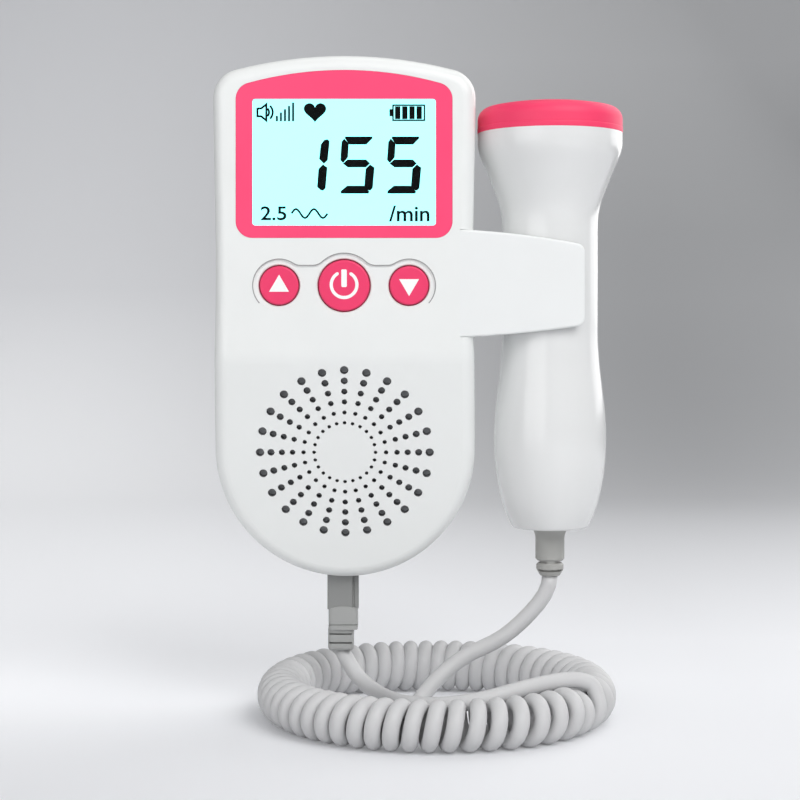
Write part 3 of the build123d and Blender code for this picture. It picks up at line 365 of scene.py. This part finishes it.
def flat_piece(name, shapes, y, lift, finish_name, body):
    """Thin raised plates with the given outlines, in millimetres, standing lift proud of y."""
    build = bmesh.new()
    for shape in shapes:
        build.faces.new([build.verts.new((x * MM, y * MM, z * MM)) for x, z in shape])
    raised(name, build, lift, finish_name, body)


def mesh_of(curve):
    """Mesh that a curve gives."""
    holder = bpy.data.objects.new(curve.name, curve)
    bpy.context.collection.objects.link(holder)
    bpy.context.view_layer.update()
    mesh = bpy.data.meshes.new_from_object(holder)
    bpy.data.objects.remove(holder)
    return mesh


def front_of(node):
    """Depth of a node's front, in millimetres."""
    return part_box(node)[0][1] / MM


def centre_of(node):
    """Middle of a node as seen from the front, in millimetres."""
    low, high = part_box(node)
    return ((low[0] + high[0]) / 2 / MM, (low[2] + high[2]) / 2 / MM)


# ---------------------------------------------------------------- outlines
END_STEPS = 6
# Points of a line that lie closer together than this are dropped.
LEAST_STEP = 0.02


def on_circle(x, z, radius, angle):
    """Point of a circle at this angle in radians."""
    return (x + radius * math.cos(angle), z + radius * math.sin(angle))


def bend_between(before, after):
    """Turn from one direction to the next, between minus and plus half a circle."""
    return (after - before + math.pi) % (2 * math.pi) - math.pi


def ribbon(points, width):
    """Outline of a line of even width through the points."""
    left, right = [], []
    for i, (x, y) in enumerate(points):
        ax, ay = points[max(i - 1, 0)]
        bx, by = points[min(i + 1, len(points) - 1)]
        before = math.atan2(y - ay, x - ax) if i else math.atan2(by - y, bx - x)
        after = math.atan2(by - y, bx - x) if i + 1 < len(points) else before
        bend = bend_between(before, after)
        way = before + bend / 2
        reach = width / 2 / math.cos(bend / 2)
        left.append((x - reach * math.sin(way), y + reach * math.cos(way)))
        right.append((x + reach * math.sin(way), y - reach * math.cos(way)))
    return left + right[::-1]


def ring_arc(cx, cz, inner, outer, start, end, steps):
    """Outline of part of a ring, from start to end in degrees."""
    angles = [math.radians(start + (end - start) * i / steps) for i in range(steps + 1)]
    out = [on_circle(cx, cz, outer, a) for a in angles]
    back = [on_circle(cx, cz, inner, a) for a in reversed(angles)]
    return out + back


def rounded_arc(cx, cz, radius, half, start, end, steps):
    """Outline of part of a ring with rounded ends, which reaches half to each side of radius."""
    outline = ring_arc(cx, cz, radius - half, radius + half, start, end, steps)
    ends = []
    for angle, first in ((end, 0), (start, 180)):
        way = math.radians(angle)
        x, z = on_circle(cx, cz, radius, way)
        turns = [way + math.radians(first + 180 / END_STEPS * k) for k in range(1, END_STEPS)]
        ends.append([on_circle(x, z, half, a) for a in turns])
    middle = len(outline) // 2
    return outline[:middle] + ends[0] + outline[middle:] + ends[1]


def swollen(shape, reach):
    """A closed outline of picture points, clockwise on the screen, pushed outwards by reach."""
    grown = []
    for i, (x, y) in enumerate(shape):
        ax, ay = shape[i - 1]
        bx, by = shape[(i + 1) % len(shape)]
        before = math.atan2(y - ay, x - ax)
        bend = bend_between(before, math.atan2(by - y, bx - x))
        way = before + bend / 2
        far = reach / math.cos(bend / 2)
        grown.append((x + far * math.sin(way), y - far * math.cos(way)))
    return grown


# ---------------------------------------------------------------- display
GLASS_Y = front_of("lcd_panel")
PRINT_LIFT = 0.02


def on_glass(points):
    """Picture points carried onto the display, in millimetres."""
    return [seen_at(px, py, GLASS_Y) for px, py in points]


def printed(name, shapes):
    """Dark print on the display."""
    flat_piece(name, shapes, GLASS_Y, PRINT_LIFT, "segment_black", "monitor")


# ---------------------------------------------------------------- figures of the display
# Segments of a seven-segment figure before it is slanted, in a box 0..1 wide and 0..1 down.
SEGMENTS = {
    "top": [(0.10, 0.0), (0.86, 0.0), (0.87, 0.02), (0.71, 0.129), (0.225, 0.129), (0.085, 0.02)],
    "upper_left": [
        (0.055, 0.04), (0.19, 0.12), (0.20, 0.36), (0.085, 0.453), (0.01, 0.41), (0.0, 0.09),
    ],
    "upper_right": [
        (0.86, 0.062), (0.945, 0.049), (1.0, 0.08), (0.99, 0.41),
        (0.90, 0.467), (0.765, 0.39), (0.775, 0.14),
    ],
    "middle": [
        (0.10, 0.475), (0.21, 0.409), (0.74, 0.409), (0.855, 0.471), (0.755, 0.533), (0.235, 0.533),
    ],
    "lower_right": [
        (0.88, 0.498), (1.0, 0.549), (1.0, 0.905), (0.94, 0.947),
        (0.875, 0.938), (0.775, 0.885), (0.77, 0.573),
    ],
    "bottom": [
        (0.10, 0.965), (0.27, 0.875), (0.745, 0.875), (0.91, 0.975), (0.89, 1.0), (0.105, 1.0),
    ],
}
FIGURES = {
    "1": ["upper_right", "lower_right"],
    "5": ["top", "upper_left", "middle", "lower_right", "bottom"],
}
# Each figure and where its foot starts, then the size and slant of all, in picture points.
READING = (("1", 290.5), ("5", 337.6), ("5", 384.3))
FIGURE_TOP, FIGURE_WIDTH, FIGURE_HEIGHT = 137.0, 34.25, 56.25
FIGURE_SLANT = 4.85
SEGMENT_SWELL = 0.42


def figure(sign, left):
    """Segments of one figure, whose foot starts at left and which leans right."""
    shapes = []
    for part in FIGURES[sign]:
        corners = [
            (left + u * FIGURE_WIDTH + FIGURE_SLANT * (1 - v), FIGURE_TOP + v * FIGURE_HEIGHT)
            for u, v in SEGMENTS[part]
        ]
        shapes.append(on_glass(swollen(corners, SEGMENT_SWELL)))
    return shapes


printed("display_figures", [shape for sign, left in READING for shape in figure(sign, left)])


# ---------------------------------------------------------------- signs of the display
# All in picture points.
LINE = 2.1
HEART_X, HEART_Y = 315.0, 111.4
HEART_HALF_WIDTH, HEART_HALF_HEIGHT = 11.2, 9.9
HEART_STEPS = 48
BAR_LEFT, BAR_PITCH, BAR_FOOT = 275.9, 4.05, 121.4
BAR_TOPS = (116.0, 112.5, 109.2, 106.0, 102.6)
CELLS = 4
CELL_LEFT, CELL_PITCH, CELL_WIDTH = 395.0, 7.15, 5.4
CELL_TOP, CELL_FOOT = 106.4, 119.2
TIP_LEFT, TIP_WIDTH, TIP_TOP, TIP_FOOT = 389.4, 2.8, 109.2, 116.4
CASING = [(393.0, 105.3), (424.4, 105.3), (424.4, 120.4), (393.0, 120.4), (393.0, 104.8)]
CASING_LINE = 1.6
HORN = [
    (257.5, 108.6), (261.2, 108.6), (266.4, 104.4), (266.4, 120.6),
    (261.2, 116.4), (257.5, 116.4), (257.5, 108.0),
]
SOUND_X, SOUND_Y = 263.8, 112.4
SOUND_RADII = (5.3, 9.0)
SOUND_HALF_ANGLE = 46
SOUND_STEPS = 12
WAVE_LEFT, WAVE_STEP = 291.5, 0.75
WAVE_Y, WAVE_HEIGHT = 213.6, 4.4
WAVE_PERIODS, WAVE_STEPS = 2, 24
WAVE_LINE = 2.0


def upright(x, wide, top, foot):
    """Upright bar of the display."""
    return on_glass([(x, top), (x + wide, top), (x + wide, foot), (x, foot)])


def heart():
    """Heart, by the usual curve, which reaches 16 to each side and about 14.5 up and down."""
    shape = []
    for i in range(HEART_STEPS):
        t = 2 * math.pi * i / HEART_STEPS
        u = 16 * math.sin(t) ** 3
        v = 13 * math.cos(t) - 5 * math.cos(2 * t) - 2 * math.cos(3 * t) - math.cos(4 * t)
        shape.append((HEART_X + HEART_HALF_WIDTH * u / 16, HEART_Y - HEART_HALF_HEIGHT * v / 14.5))
    return on_glass(shape)


def volume_bars():
    """Row of bars that rise to the right."""
    bars = []
    for i, top in enumerate(BAR_TOPS):
        bars.append(upright(BAR_LEFT + BAR_PITCH * i, LINE, top, BAR_FOOT))
    return bars


def battery():
    """Battery lying on its side: its cells, its tip and its casing."""
    lefts = [CELL_LEFT + CELL_PITCH * i for i in range(CELLS)]
    shapes = [upright(left, CELL_WIDTH, CELL_TOP, CELL_FOOT) for left in lefts]
    shapes.append(upright(TIP_LEFT, TIP_WIDTH, TIP_TOP, TIP_FOOT))
    shapes.append(on_glass(ribbon(CASING, CASING_LINE)))
    return shapes


def loudspeaker():
    """Loudspeaker: the line of its horn and the arcs of its sound."""
    shapes = [on_glass(ribbon(HORN, LINE))]
    start, end = -SOUND_HALF_ANGLE, SOUND_HALF_ANGLE
    for radius in SOUND_RADII:
        inner, outer = radius - LINE / 2, radius + LINE / 2
        arc = ring_arc(SOUND_X, SOUND_Y, inner, outer, start, end, SOUND_STEPS)
        shapes.append(on_glass(arc))
    return shapes


def wave():
    """Line of a sine wave."""
    points = []
    for i in range(WAVE_PERIODS * WAVE_STEPS + 1):
        rise = WAVE_HEIGHT * math.sin(2 * math.pi * i / WAVE_STEPS)
        points.append((WAVE_LEFT + WAVE_STEP * i, WAVE_Y - rise))
    return on_glass(ribbon(points, WAVE_LINE))


printed("display_signs", [heart()] + volume_bars() + battery() + loudspeaker() + [wave()])


# ---------------------------------------------------------------- small lettering of the display
TEXT_RESOLUTION = 5
TEXT_SWELL = 0.015
TEXT_MERGE = 1e-6


def small_text(name, text, left, right, top, foot):
    """Plain lettering of the display, fitted between the given picture lines."""
    curve = bpy.data.curves.new(name, "FONT")
    curve.body = text
    curve.resolution_u = TEXT_RESOLUTION
    curve.offset = TEXT_SWELL
    flat = mesh_of(curve)
    build = bmesh.new()
    build.from_mesh(flat)
    bpy.data.meshes.remove(flat)
    bmesh.ops.remove_doubles(build, verts=build.verts, dist=TEXT_MERGE)
    across = [v.co.x for v in build.verts]
    along = [v.co.y for v in build.verts]
    for vertex in build.verts:
        u = (vertex.co.x - min(across)) / (max(across) - min(across))
        v = (vertex.co.y - min(along)) / (max(along) - min(along))
        x, z = seen_at(left + u * (right - left), foot + v * (top - foot), GLASS_Y)
        vertex.co = (x * MM, GLASS_Y * MM, z * MM)
    raised(name, build, PRINT_LIFT, "segment_black", "monitor")


small_text("display_depth", "2.5", left=260.8, right=286.5, top=206.3, foot=220.4)
small_text("display_unit", "/min", left=389.0, right=429.5, top=205.6, foot=221.6)


# ---------------------------------------------------------------- signs on the keys
KEY_SIGN_LIFT = 0.03
ARROW_HALF_WIDTH, ARROW_FOOT, ARROW_TIP = 2.7, 1.7, 2.9
POWER_RISE, POWER_RADIUS, POWER_HALF_LINE = 0.2, 3.465, 0.435
POWER_START, POWER_END, POWER_STEPS = 122, 418, 60
# Stroke of the power sign: across in its half widths, and up in millimetres.
STROKE_HALF_WIDTH = 0.745
STROKE = [
    (-0.7, -0.45), (0.7, -0.45), (1, -0.2), (1, 4.08),
    (0.7, 4.33), (-0.7, 4.33), (-1, 4.08), (-1, -0.2),
]


def key_sign(key, shapes):
    """White sign on the front of a key, which it moves with."""
    flat_piece(key + "_sign", shapes, front_of(key), KEY_SIGN_LIFT, "icon_white", key)


def arrow_sign(key, up):
    """Arrowhead that points up for 1 and down for -1."""
    x, z = centre_of(key)
    foot, tip = z - ARROW_FOOT * up, z + ARROW_TIP * up
    key_sign(key, [[(x - ARROW_HALF_WIDTH, foot), (x + ARROW_HALF_WIDTH, foot), (x, tip)]])


def power_sign(key):
    """Open ring with an upright stroke in its gap."""
    x, z = centre_of(key)
    middle = (x, z + POWER_RISE)
    ends = (POWER_START, POWER_END)
    ring = rounded_arc(*middle, POWER_RADIUS, POWER_HALF_LINE, *ends, POWER_STEPS)
    key_sign(key, [ring, [(x + u * STROKE_HALF_WIDTH, z + v) for u, v in STROKE]])


arrow_sign("volume_up_button", 1)
arrow_sign("volume_down_button", -1)
power_sign("power_button")


# ---------------------------------------------------------------- painted shade line at the edge of the tray round the keys
KEY_PITCH = 17.55
EDGE_WIDTH = 0.27
EDGE_LIFT = 0.02
# Radii of the tray's lobes and of the blends between them, and the height of its waists.
SIDE_LOBE, CENTRE_LOBE, LOBE_BLEND = 7.0, 8.6, 4.0
TRAY_WAIST = 5.3
EDGE_START = 222
SIDE_STEPS, BLEND_STEPS, CENTRE_STEPS = 40, 8, 12


def tray_shade_line():
    """Painted shade: a thin dark line along the tray's top and sides, where its step shades the
    face: two side lobes, a centre lobe and blends.
    """
    half = EDGE_WIDTH / 2
    side, middle = SIDE_LOBE + half, CENTRE_LOBE + half
    blend, waist = LOBE_BLEND - half, TRAY_WAIST + half
    lift = waist + blend
    side_x = -KEY_PITCH + math.sqrt((side + blend) ** 2 - lift**2)
    middle_x = -math.sqrt((middle + blend) ** 2 - lift**2)
    side_way = math.degrees(math.atan2(lift, side_x + KEY_PITCH))
    middle_way = math.degrees(math.atan2(lift, middle_x))
    arcs = [
        (-KEY_PITCH, 0.0, side, EDGE_START, side_way, SIDE_STEPS),
        (side_x, lift, blend, 180 + side_way, 270, BLEND_STEPS),
        (middle_x, lift, blend, 270, 180 + middle_way, BLEND_STEPS),
        (0.0, 0.0, middle, middle_way, 90, CENTRE_STEPS),
    ]
    line = []
    for x, z, radius, start, end, steps in arcs:
        for i in range(steps + 1):
            point = on_circle(x, z, radius, math.radians(start + (end - start) * i / steps))
            if not line or math.dist(point, line[-1]) > LEAST_STEP:
                line.append(point)
    return line + [(-x, z) for x, z in reversed(line[:-1])]


row_x, row_z = centre_of("power_button")
edge = ribbon([(row_x + x, row_z + z) for x, z in tray_shade_line()], EDGE_WIDTH)
# A thin grey line painted where the tray's step shades the face.
flat_piece("tray_shade_line", [edge], FRONT_Y, EDGE_LIFT, "tray_shade_grey", "monitor")


# ---------------------------------------------------------------- web behind the plug's latch
WEB_CENTRE = (2.05, -9.753, -77.6)
WEB_SIZE = (0.66, 5.0, 9.4)
WEB_ROUNDING, WEB_ROUND_STEPS = 0.2, 3


def latch_web():
    """Rounded web that closes the narrow gap between the plug and its latch."""
    build = bmesh.new()
    bmesh.ops.create_cube(build, size=1.0)
    for vertex in build.verts:
        vertex.co = [(c + s * v) * MM for c, s, v in zip(WEB_CENTRE, WEB_SIZE, vertex.co)]
    bmesh.ops.bevel(
        build,
        geom=list(build.edges),
        offset=WEB_ROUNDING * MM,
        segments=WEB_ROUND_STEPS,
        affect="EDGES",
        profile=0.5,
    )
    riding("latch_web", build, "boot_grey", "monitor")


latch_web()


# ---------------------------------------------------------------- rim of the probe's cap
PROBE_X, PROBE_Y = 57.0, -17.0
CAP_SEAM_Z = 52.1
RIM_HEIGHT = 1.2
RIM_LIFT = 0.06
RIM_DEPTH = 0.5
RIM_OVERLAP = 0.3
RIM_SINK = 0.05
RIM_STEPS = 5
RIM_SIDES = 128
# The shell is measured from this far in front of the probe's axis.
MEASURE_FROM = 60


def shell_radius(z):
    """Radius of the probe's shell at height z, measured on its front."""
    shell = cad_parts["probe_front_shell"]
    inward = shell.matrix_world.inverted()
    start = inward @ Vector((PROBE_X * MM, (PROBE_Y - MEASURE_FROM) * MM, z * MM))
    _, place, _, _ = shell.ray_cast(start, (inward.to_3x3() @ Vector((0, 1, 0))).normalized())
    return PROBE_Y - (shell.matrix_world @ place).y / MM


def rim_section():
    """Section of the rim, as radius and height: its foot, its outer face, then its top."""
    foot, top = CAP_SEAM_Z - RIM_HEIGHT, CAP_SEAM_Z + RIM_OVERLAP
    section = [(shell_radius(foot) - RIM_DEPTH, foot), (shell_radius(foot), foot)]
    for i in range(1, RIM_STEPS + 1):
        z = foot + RIM_HEIGHT * i / RIM_STEPS - RIM_SINK
        section.append((shell_radius(z) + RIM_LIFT, z))
    outer = section[-1][0]
    return section + [(outer, top), (outer - RIM_DEPTH, top)]


def cap_rim():
    """Soft lower rim of the cap, which overlaps the top of the probe's shells."""
    section = rim_section()
    build = bmesh.new()
    rings = []
    for i in range(RIM_SIDES):
        ring = []
        for radius, z in section:
            x, y = on_circle(PROBE_X, PROBE_Y, radius, 2 * math.pi * i / RIM_SIDES)
            ring.append(build.verts.new((x * MM, y * MM, z * MM)))
        rings.append(ring)
    for a, b in zip(rings, rings[1:] + rings[:1]):
        for j in range(len(section)):
            k = (j + 1) % len(section)
            # Only the outer face is smooth, between the turned-in foot and the top.
            build.faces.new((a[j], b[j], b[k], a[k])).smooth = 2 <= j <= RIM_STEPS + 1
    bmesh.ops.recalc_face_normals(build, faces=build.faces)
    riding("cap_rim", build, "cap_pink", "probe")


cap_rim()


# ---------------------------------------------------------------- cord
LEAD_MONITOR = [
    (-1.6, -9.75, -94.2),
    (0.6, -9.95, -98.6),
    (4.2, -12.6, -103.0),
    (9.2, -19.6, -105.0),
    (12.7, -30.8, -104.0),
    (15.5, -41.0, -102.8),
    (22.9, -47.4, -102.1),
    (30.6, -49.2, -101.2),
    (38.4, -48.4, -99.9),
    (45.1, -45.7, -98.6),
    (52.0, -41.4, -97.8),
    (57.7, -38.1, -97.4),
    (62.7, -36.2, -97.4),
    (66.9, -35.4, -99.0),
]
LEAD_PROBE = [
    (61.6, -30.05, -109.25),
    (55.6, -31.7, -109.25),
    (49.6, -38.7, -109.3),
    (43.6, -44.9, -109.3),
    (36.6, -47.9, -109.3),
    (27.0, -48.0, -109.3),
    (18.6, -41.0, -109.0),
    (18.2, -29.8, -107.2),
    (24.6, -20.8, -101.0),
    (33.0, -17.8, -94.6),
    (42.9, -17.2, -90.6),
    (50.4, -17.0, -84.3),
    (57.0, -17.0, -76.4),
    (57.0, -17.0, -72.3),
]
CORD = 4.4
CORD_SIDES = 16
RING_X, RING_Y, RING_Z = 25.25, -17.0, -104.8
RING_RADIUS = 43.2
CURL_RADIUS = 4.52
TURNS = 54.361
POINTS_PER_TURN = 12
RING_START = -25.0
RING_END = -378.0
CURL_START = 35.0
# The turns at the front right are wider apart by this share, around this part of the ring.
OPENNESS, OPEN_AT, OPEN_SPAN = 0.28, 0.05, 0.12
# The first turn is smaller by this share, where the monitor's lead passes over it.
DIP, DIP_AT, DIP_SPAN = 0.19, 0.9, 0.45
# The ring is flatter than a circle: its back lies nearer, with slightly larger turns, and its
# front farther.
BACK_NEARER = 10.0
BACK_GROWTH = 0.14
FRONT_FARTHER = 2.3
# Each turn strays from its even place by up to this many degrees.
WANDER = 0.22
WANDER_SEED, WANDER_POINTS = 7, 64
# The NURBS line through the points: its order and its steps between two of them.
LINE_ORDER, LINE_STEPS = 3, 3


def stretch(share):
    """Length per radian of the flattened ring against a circle's, at this share of its way."""
    angle = math.radians(RING_START + (RING_END - RING_START) * share)
    shift = BACK_NEARER if math.sin(angle) > 0 else -FRONT_FARTHER
    slope = RING_RADIUS * math.cos(angle) - shift * math.sin(2 * angle)
    return math.hypot(RING_RADIUS * math.sin(angle), slope) / RING_RADIUS


def curl_points():
    """Points of the curl, wound more openly at the front right and a little unevenly."""
    dice = random.Random(WANDER_SEED)
    count = round(TURNS * POINTS_PER_TURN)
    wander = [dice.uniform(-1, 1) for _ in range(WANDER_POINTS)]
    wander[0] = 0.0
    pitches = []
    for i in range(count):
        opened = 1 + OPENNESS * math.exp(-(((i / count - OPEN_AT) / OPEN_SPAN) ** 2))
        pitches.append(opened / stretch(i / count))
    whole_pitch = sum(pitches)
    done = 0.0
    points = []
    for i in range(count + 1):
        turn = i / count * TURNS
        whole = int(turn)
        ease = turn - whole
        drift = wander[whole] * (1 - ease) + wander[whole + 1] * ease
        ring_way = RING_START + (RING_END - RING_START) * done / whole_pitch + WANDER * drift
        ring = math.radians(ring_way)
        wind = math.radians(CURL_START - 360 * turn)
        back = max(0.0, math.sin(ring)) ** 2
        front = max(0.0, -math.sin(ring)) ** 2
        size = 1 - DIP * math.exp(-(((turn - DIP_AT) / DIP_SPAN) ** 2)) + BACK_GROWTH * back
        reach = CURL_RADIUS * size / math.cos(math.pi / POINTS_PER_TURN)
        out = RING_RADIUS + reach * math.cos(wind)
        points.append((
            RING_X + out * math.cos(ring),
            RING_Y + out * math.sin(ring) - BACK_NEARER * back + FRONT_FARTHER * front,
            RING_Z - CURL_RADIUS * (1 - size) + reach * math.sin(wind),
        ))
        if i < count:
            done += pitches[i]
    return points


def smooth_line(route):
    """Points along the NURBS line that the route controls, in metres."""
    curve = bpy.data.curves.new("cord_line", "CURVE")
    curve.dimensions = "3D"
    curve.resolution_u = LINE_STEPS
    spline = curve.splines.new("NURBS")
    spline.points.add(len(route) - 1)
    for point, place in zip(spline.points, route):
        point.co = (*[v * MM for v in place], 1)
    spline.order_u = LINE_ORDER
    spline.use_endpoint_u = True
    read = mesh_of(curve)
    line = [v.co.copy() for v in read.vertices]
    bpy.data.meshes.remove(read)
    kept = [line[0]]
    for point in line[1:]:
        if (point - kept[-1]).length > LEAST_STEP * MM:
            kept.append(point)
    return kept


def tube(name, line, radius, sides, material):
    """A round tube whose rings stand square to the line and don't twist about it."""
    build = bmesh.new()
    ways = [(b - a).normalized() for a, b in zip(line, line[1:])]
    ways = [ways[0]] + [(a + b).normalized() for a, b in zip(ways, ways[1:])] + [ways[-1]]
    side = ways[0].orthogonal().normalized()
    rings = []
    for place, way in zip(line, ways):
        side = (side - way * side.dot(way)).normalized()
        across = way.cross(side)
        rings.append([
            build.verts.new(
                place
                + radius * math.cos(2 * math.pi * i / sides) * side
                + radius * math.sin(2 * math.pi * i / sides) * across
            )
            for i in range(sides)
        ])
    for a, b in zip(rings, rings[1:]):
        for i in range(sides):
            j = (i + 1) % sides
            build.faces.new((a[i], a[j], b[j], b[i])).smooth = True
    build.faces.new(list(reversed(rings[0])))
    build.faces.new(rings[-1])
    bmesh.ops.recalc_face_normals(build, faces=build.faces)
    return placed(name, build, material)


cord_line = smooth_line(LEAD_MONITOR + curl_points() + LEAD_PROBE)
cord = tube("cord", cord_line, CORD / 2 * MM, CORD_SIDES, look["cord_grey"])
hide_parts("cord_lead_monitor", "cord_curl", "cord_lead_probe")
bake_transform(cord)


# ---------------------------------------------------------------- stage
FLOOR_Z = -111.6 * MM
# The rest of the stage's sizes are in metres.
STAGE_FRONT_Y, STAGE_BEND_Y, STAGE_WALL_Y = -1.6, 0.55, 0.9
STAGE_BEND, STAGE_BEND_STEPS = 0.35, 16
STAGE_HEIGHT = 1.9
STAGE_HALF_WIDTH = 2.2
# Painted light and shade: the floor and wall below are painted lighter low on the left wall and at
# the floor's back left, and darker at the right-hand bend, at the right and towards the floor's
# front, in place of light that falls unevenly on the backdrop.
FLOOR_LEFT = srgb(246, 247, 250)
FLOOR_RIGHT = srgb(225, 226, 229)
FLOOR_FRONT = srgb(217, 218, 221)
WALL_LEFT_LOW = srgb(249, 250, 252)
WALL_LEFT_MIDDLE = srgb(215, 216, 219)
WALL_LEFT_HIGH = srgb(196, 197, 200)
WALL_RIGHT_BEND = srgb(104, 105, 107)
WALL_RIGHT_LOW = srgb(139, 140, 142)
WALL_RIGHT_HIGH = srgb(164, 165, 167)
# Where one shade runs into the next.
WALL_LEFT_FOOT_Z, WALL_LEFT_TOP_Z = (-0.11, 0.03), (0.03, 0.30)
WALL_RIGHT_FOOT_Z, WALL_RIGHT_TOP_Z = (-0.10, 0.02), (0.02, 0.22)
WALL_ACROSS_X = (-0.30, 0.24)
FLOOR_ACROSS_X = (-0.10, 0.12)
FLOOR_BACK_Y = (-0.12, 0.03)
FLOOR_TO_WALL_Y = (0.10, 0.86)
STAGE_ROUGH = 0.7
# Painted light: the stage glows a little for camera rays only, so it shows a little brighter to the
# camera than its lamps make it.
PAINTED_STAGE_GLOW = 0.175


def stage_material():
    """Paint with painted light and shade: a pale floor that darkens backwards into a grey wall,
    darkest at the right.
    """
    material = new_material("stage_paint")
    tree, shader = material.node_tree, shader_of(material)
    shader.inputs["Roughness"].default_value = STAGE_ROUGH
    split = tree.nodes.new("ShaderNodeSeparateXYZ")
    tree.links.new(own_place(tree), split.inputs["Vector"])

    def graded(axis, span, first, second, curve="LINEAR"):
        """First colour that runs into the second over a span of one axis."""
        return mixed(tree, ramped(tree, split.outputs[axis], *span, curve), first, second)

    wall_foot = graded("Z", WALL_LEFT_FOOT_Z, WALL_LEFT_LOW, WALL_LEFT_MIDDLE)
    wall_left = graded("Z", WALL_LEFT_TOP_Z, wall_foot, WALL_LEFT_HIGH)
    wall_bend = graded("Z", WALL_RIGHT_FOOT_Z, WALL_RIGHT_BEND, WALL_RIGHT_LOW)
    wall_right = graded("Z", WALL_RIGHT_TOP_Z, wall_bend, WALL_RIGHT_HIGH)
    wall = graded("X", WALL_ACROSS_X, wall_left, wall_right, "SMOOTHSTEP")
    floor_behind = graded("X", FLOOR_ACROSS_X, FLOOR_LEFT, FLOOR_RIGHT)
    floor = graded("Y", FLOOR_BACK_Y, FLOOR_FRONT, floor_behind)
    paint = graded("Y", FLOOR_TO_WALL_Y, floor, wall)
    tree.links.new(paint, shader.inputs["Base Color"])
    tree.links.new(paint, shader.inputs["Emission Color"])
    # Painted light: the stage glows in its paint colour, for camera rays only.
    rays = tree.nodes.new("ShaderNodeLightPath")
    glow = product(tree, rays.outputs["Is Camera Ray"], PAINTED_STAGE_GLOW)
    tree.links.new(glow, shader.inputs["Emission Strength"])
    return material


def sweep_stage():
    """A pale floor that curves up into a plain wall."""
    build = bmesh.new()
    profile = [(STAGE_FRONT_Y, 0.0), (STAGE_BEND_Y, 0.0)]
    for i in range(1, STAGE_BEND_STEPS + 1):
        angle = math.radians(90 * i / STAGE_BEND_STEPS)
        y = STAGE_BEND_Y + STAGE_BEND * math.sin(angle)
        profile.append((y, STAGE_BEND * (1 - math.cos(angle))))
    profile.append((STAGE_WALL_Y, STAGE_HEIGHT))
    rows = []
    for y, z in profile:
        sides = (-STAGE_HALF_WIDTH, STAGE_HALF_WIDTH)
        rows.append([build.verts.new((x, y, FLOOR_Z + z)) for x in sides])
    for a, b in zip(rows, rows[1:]):
        build.faces.new((a[0], a[1], b[1], b[0])).smooth = True
    placed("stage", build, stage_material())


sweep_stage()


# ---------------------------------------------------------------- lamps
# Places and sizes in metres, power in watts.
LAMPS = {
    "key": {
        "place": (0.55, -0.75, 0.70),
        "target": (0.02, -0.02, -0.02),
        "size": 0.7,
        "power": 6.4,
    },
    "fill": {
        "place": (-0.57, -0.82, 0.20),
        "target": (0.02, -0.02, -0.02),
        "size": 0.85,
        "power": 2.9,
    },
    "front": {
        "place": (0.1, -1.1, 0.75),
        "target": (0.02, 0.0, -0.02),
        "size": 0.8,
        "power": 3.0,
    },
    "strip": {
        "place": (0.586, 0.45, 0.35),
        "target": (0.05, 0.0, 0.0),
        "size": 0.75,
        "size_y": 0.8,
        "power": 3.3,
    },
    "top": {
        "place": (0.1, 0.1, 0.9),
        "target": (0.03, 0.0, -0.1),
        "size": 0.6,
        "power": 1.2,
    },
}
WORLD_STRENGTH = 0.235


def area_light(name, place, target, size, power, size_y=None):
    """Square or rectangular lamp that looks at its target and isn't seen itself."""
    data = bpy.data.lights.new(name, "AREA")
    data.energy = power
    data.size = size
    if size_y:
        data.shape = "RECTANGLE"
        data.size_y = size_y
    light = bpy.data.objects.new(name, data)
    light.location = place
    aim = Vector(target) - Vector(place)
    light.rotation_euler = aim.to_track_quat("-Z", "Y").to_euler()
    light.visible_camera = False
    bpy.context.collection.objects.link(light)


for name, lamp in LAMPS.items():
    area_light(name, **lamp)

world = bpy.data.worlds.new("world")
bpy.context.scene.world = world
world.use_nodes = True
background = world.node_tree.nodes["Background"]
background.inputs["Color"].default_value = (1.0, 1.0, 1.0, 1)
background.inputs["Strength"].default_value = WORLD_STRENGTH

bpy.context.scene.view_settings.view_transform = "Standard"
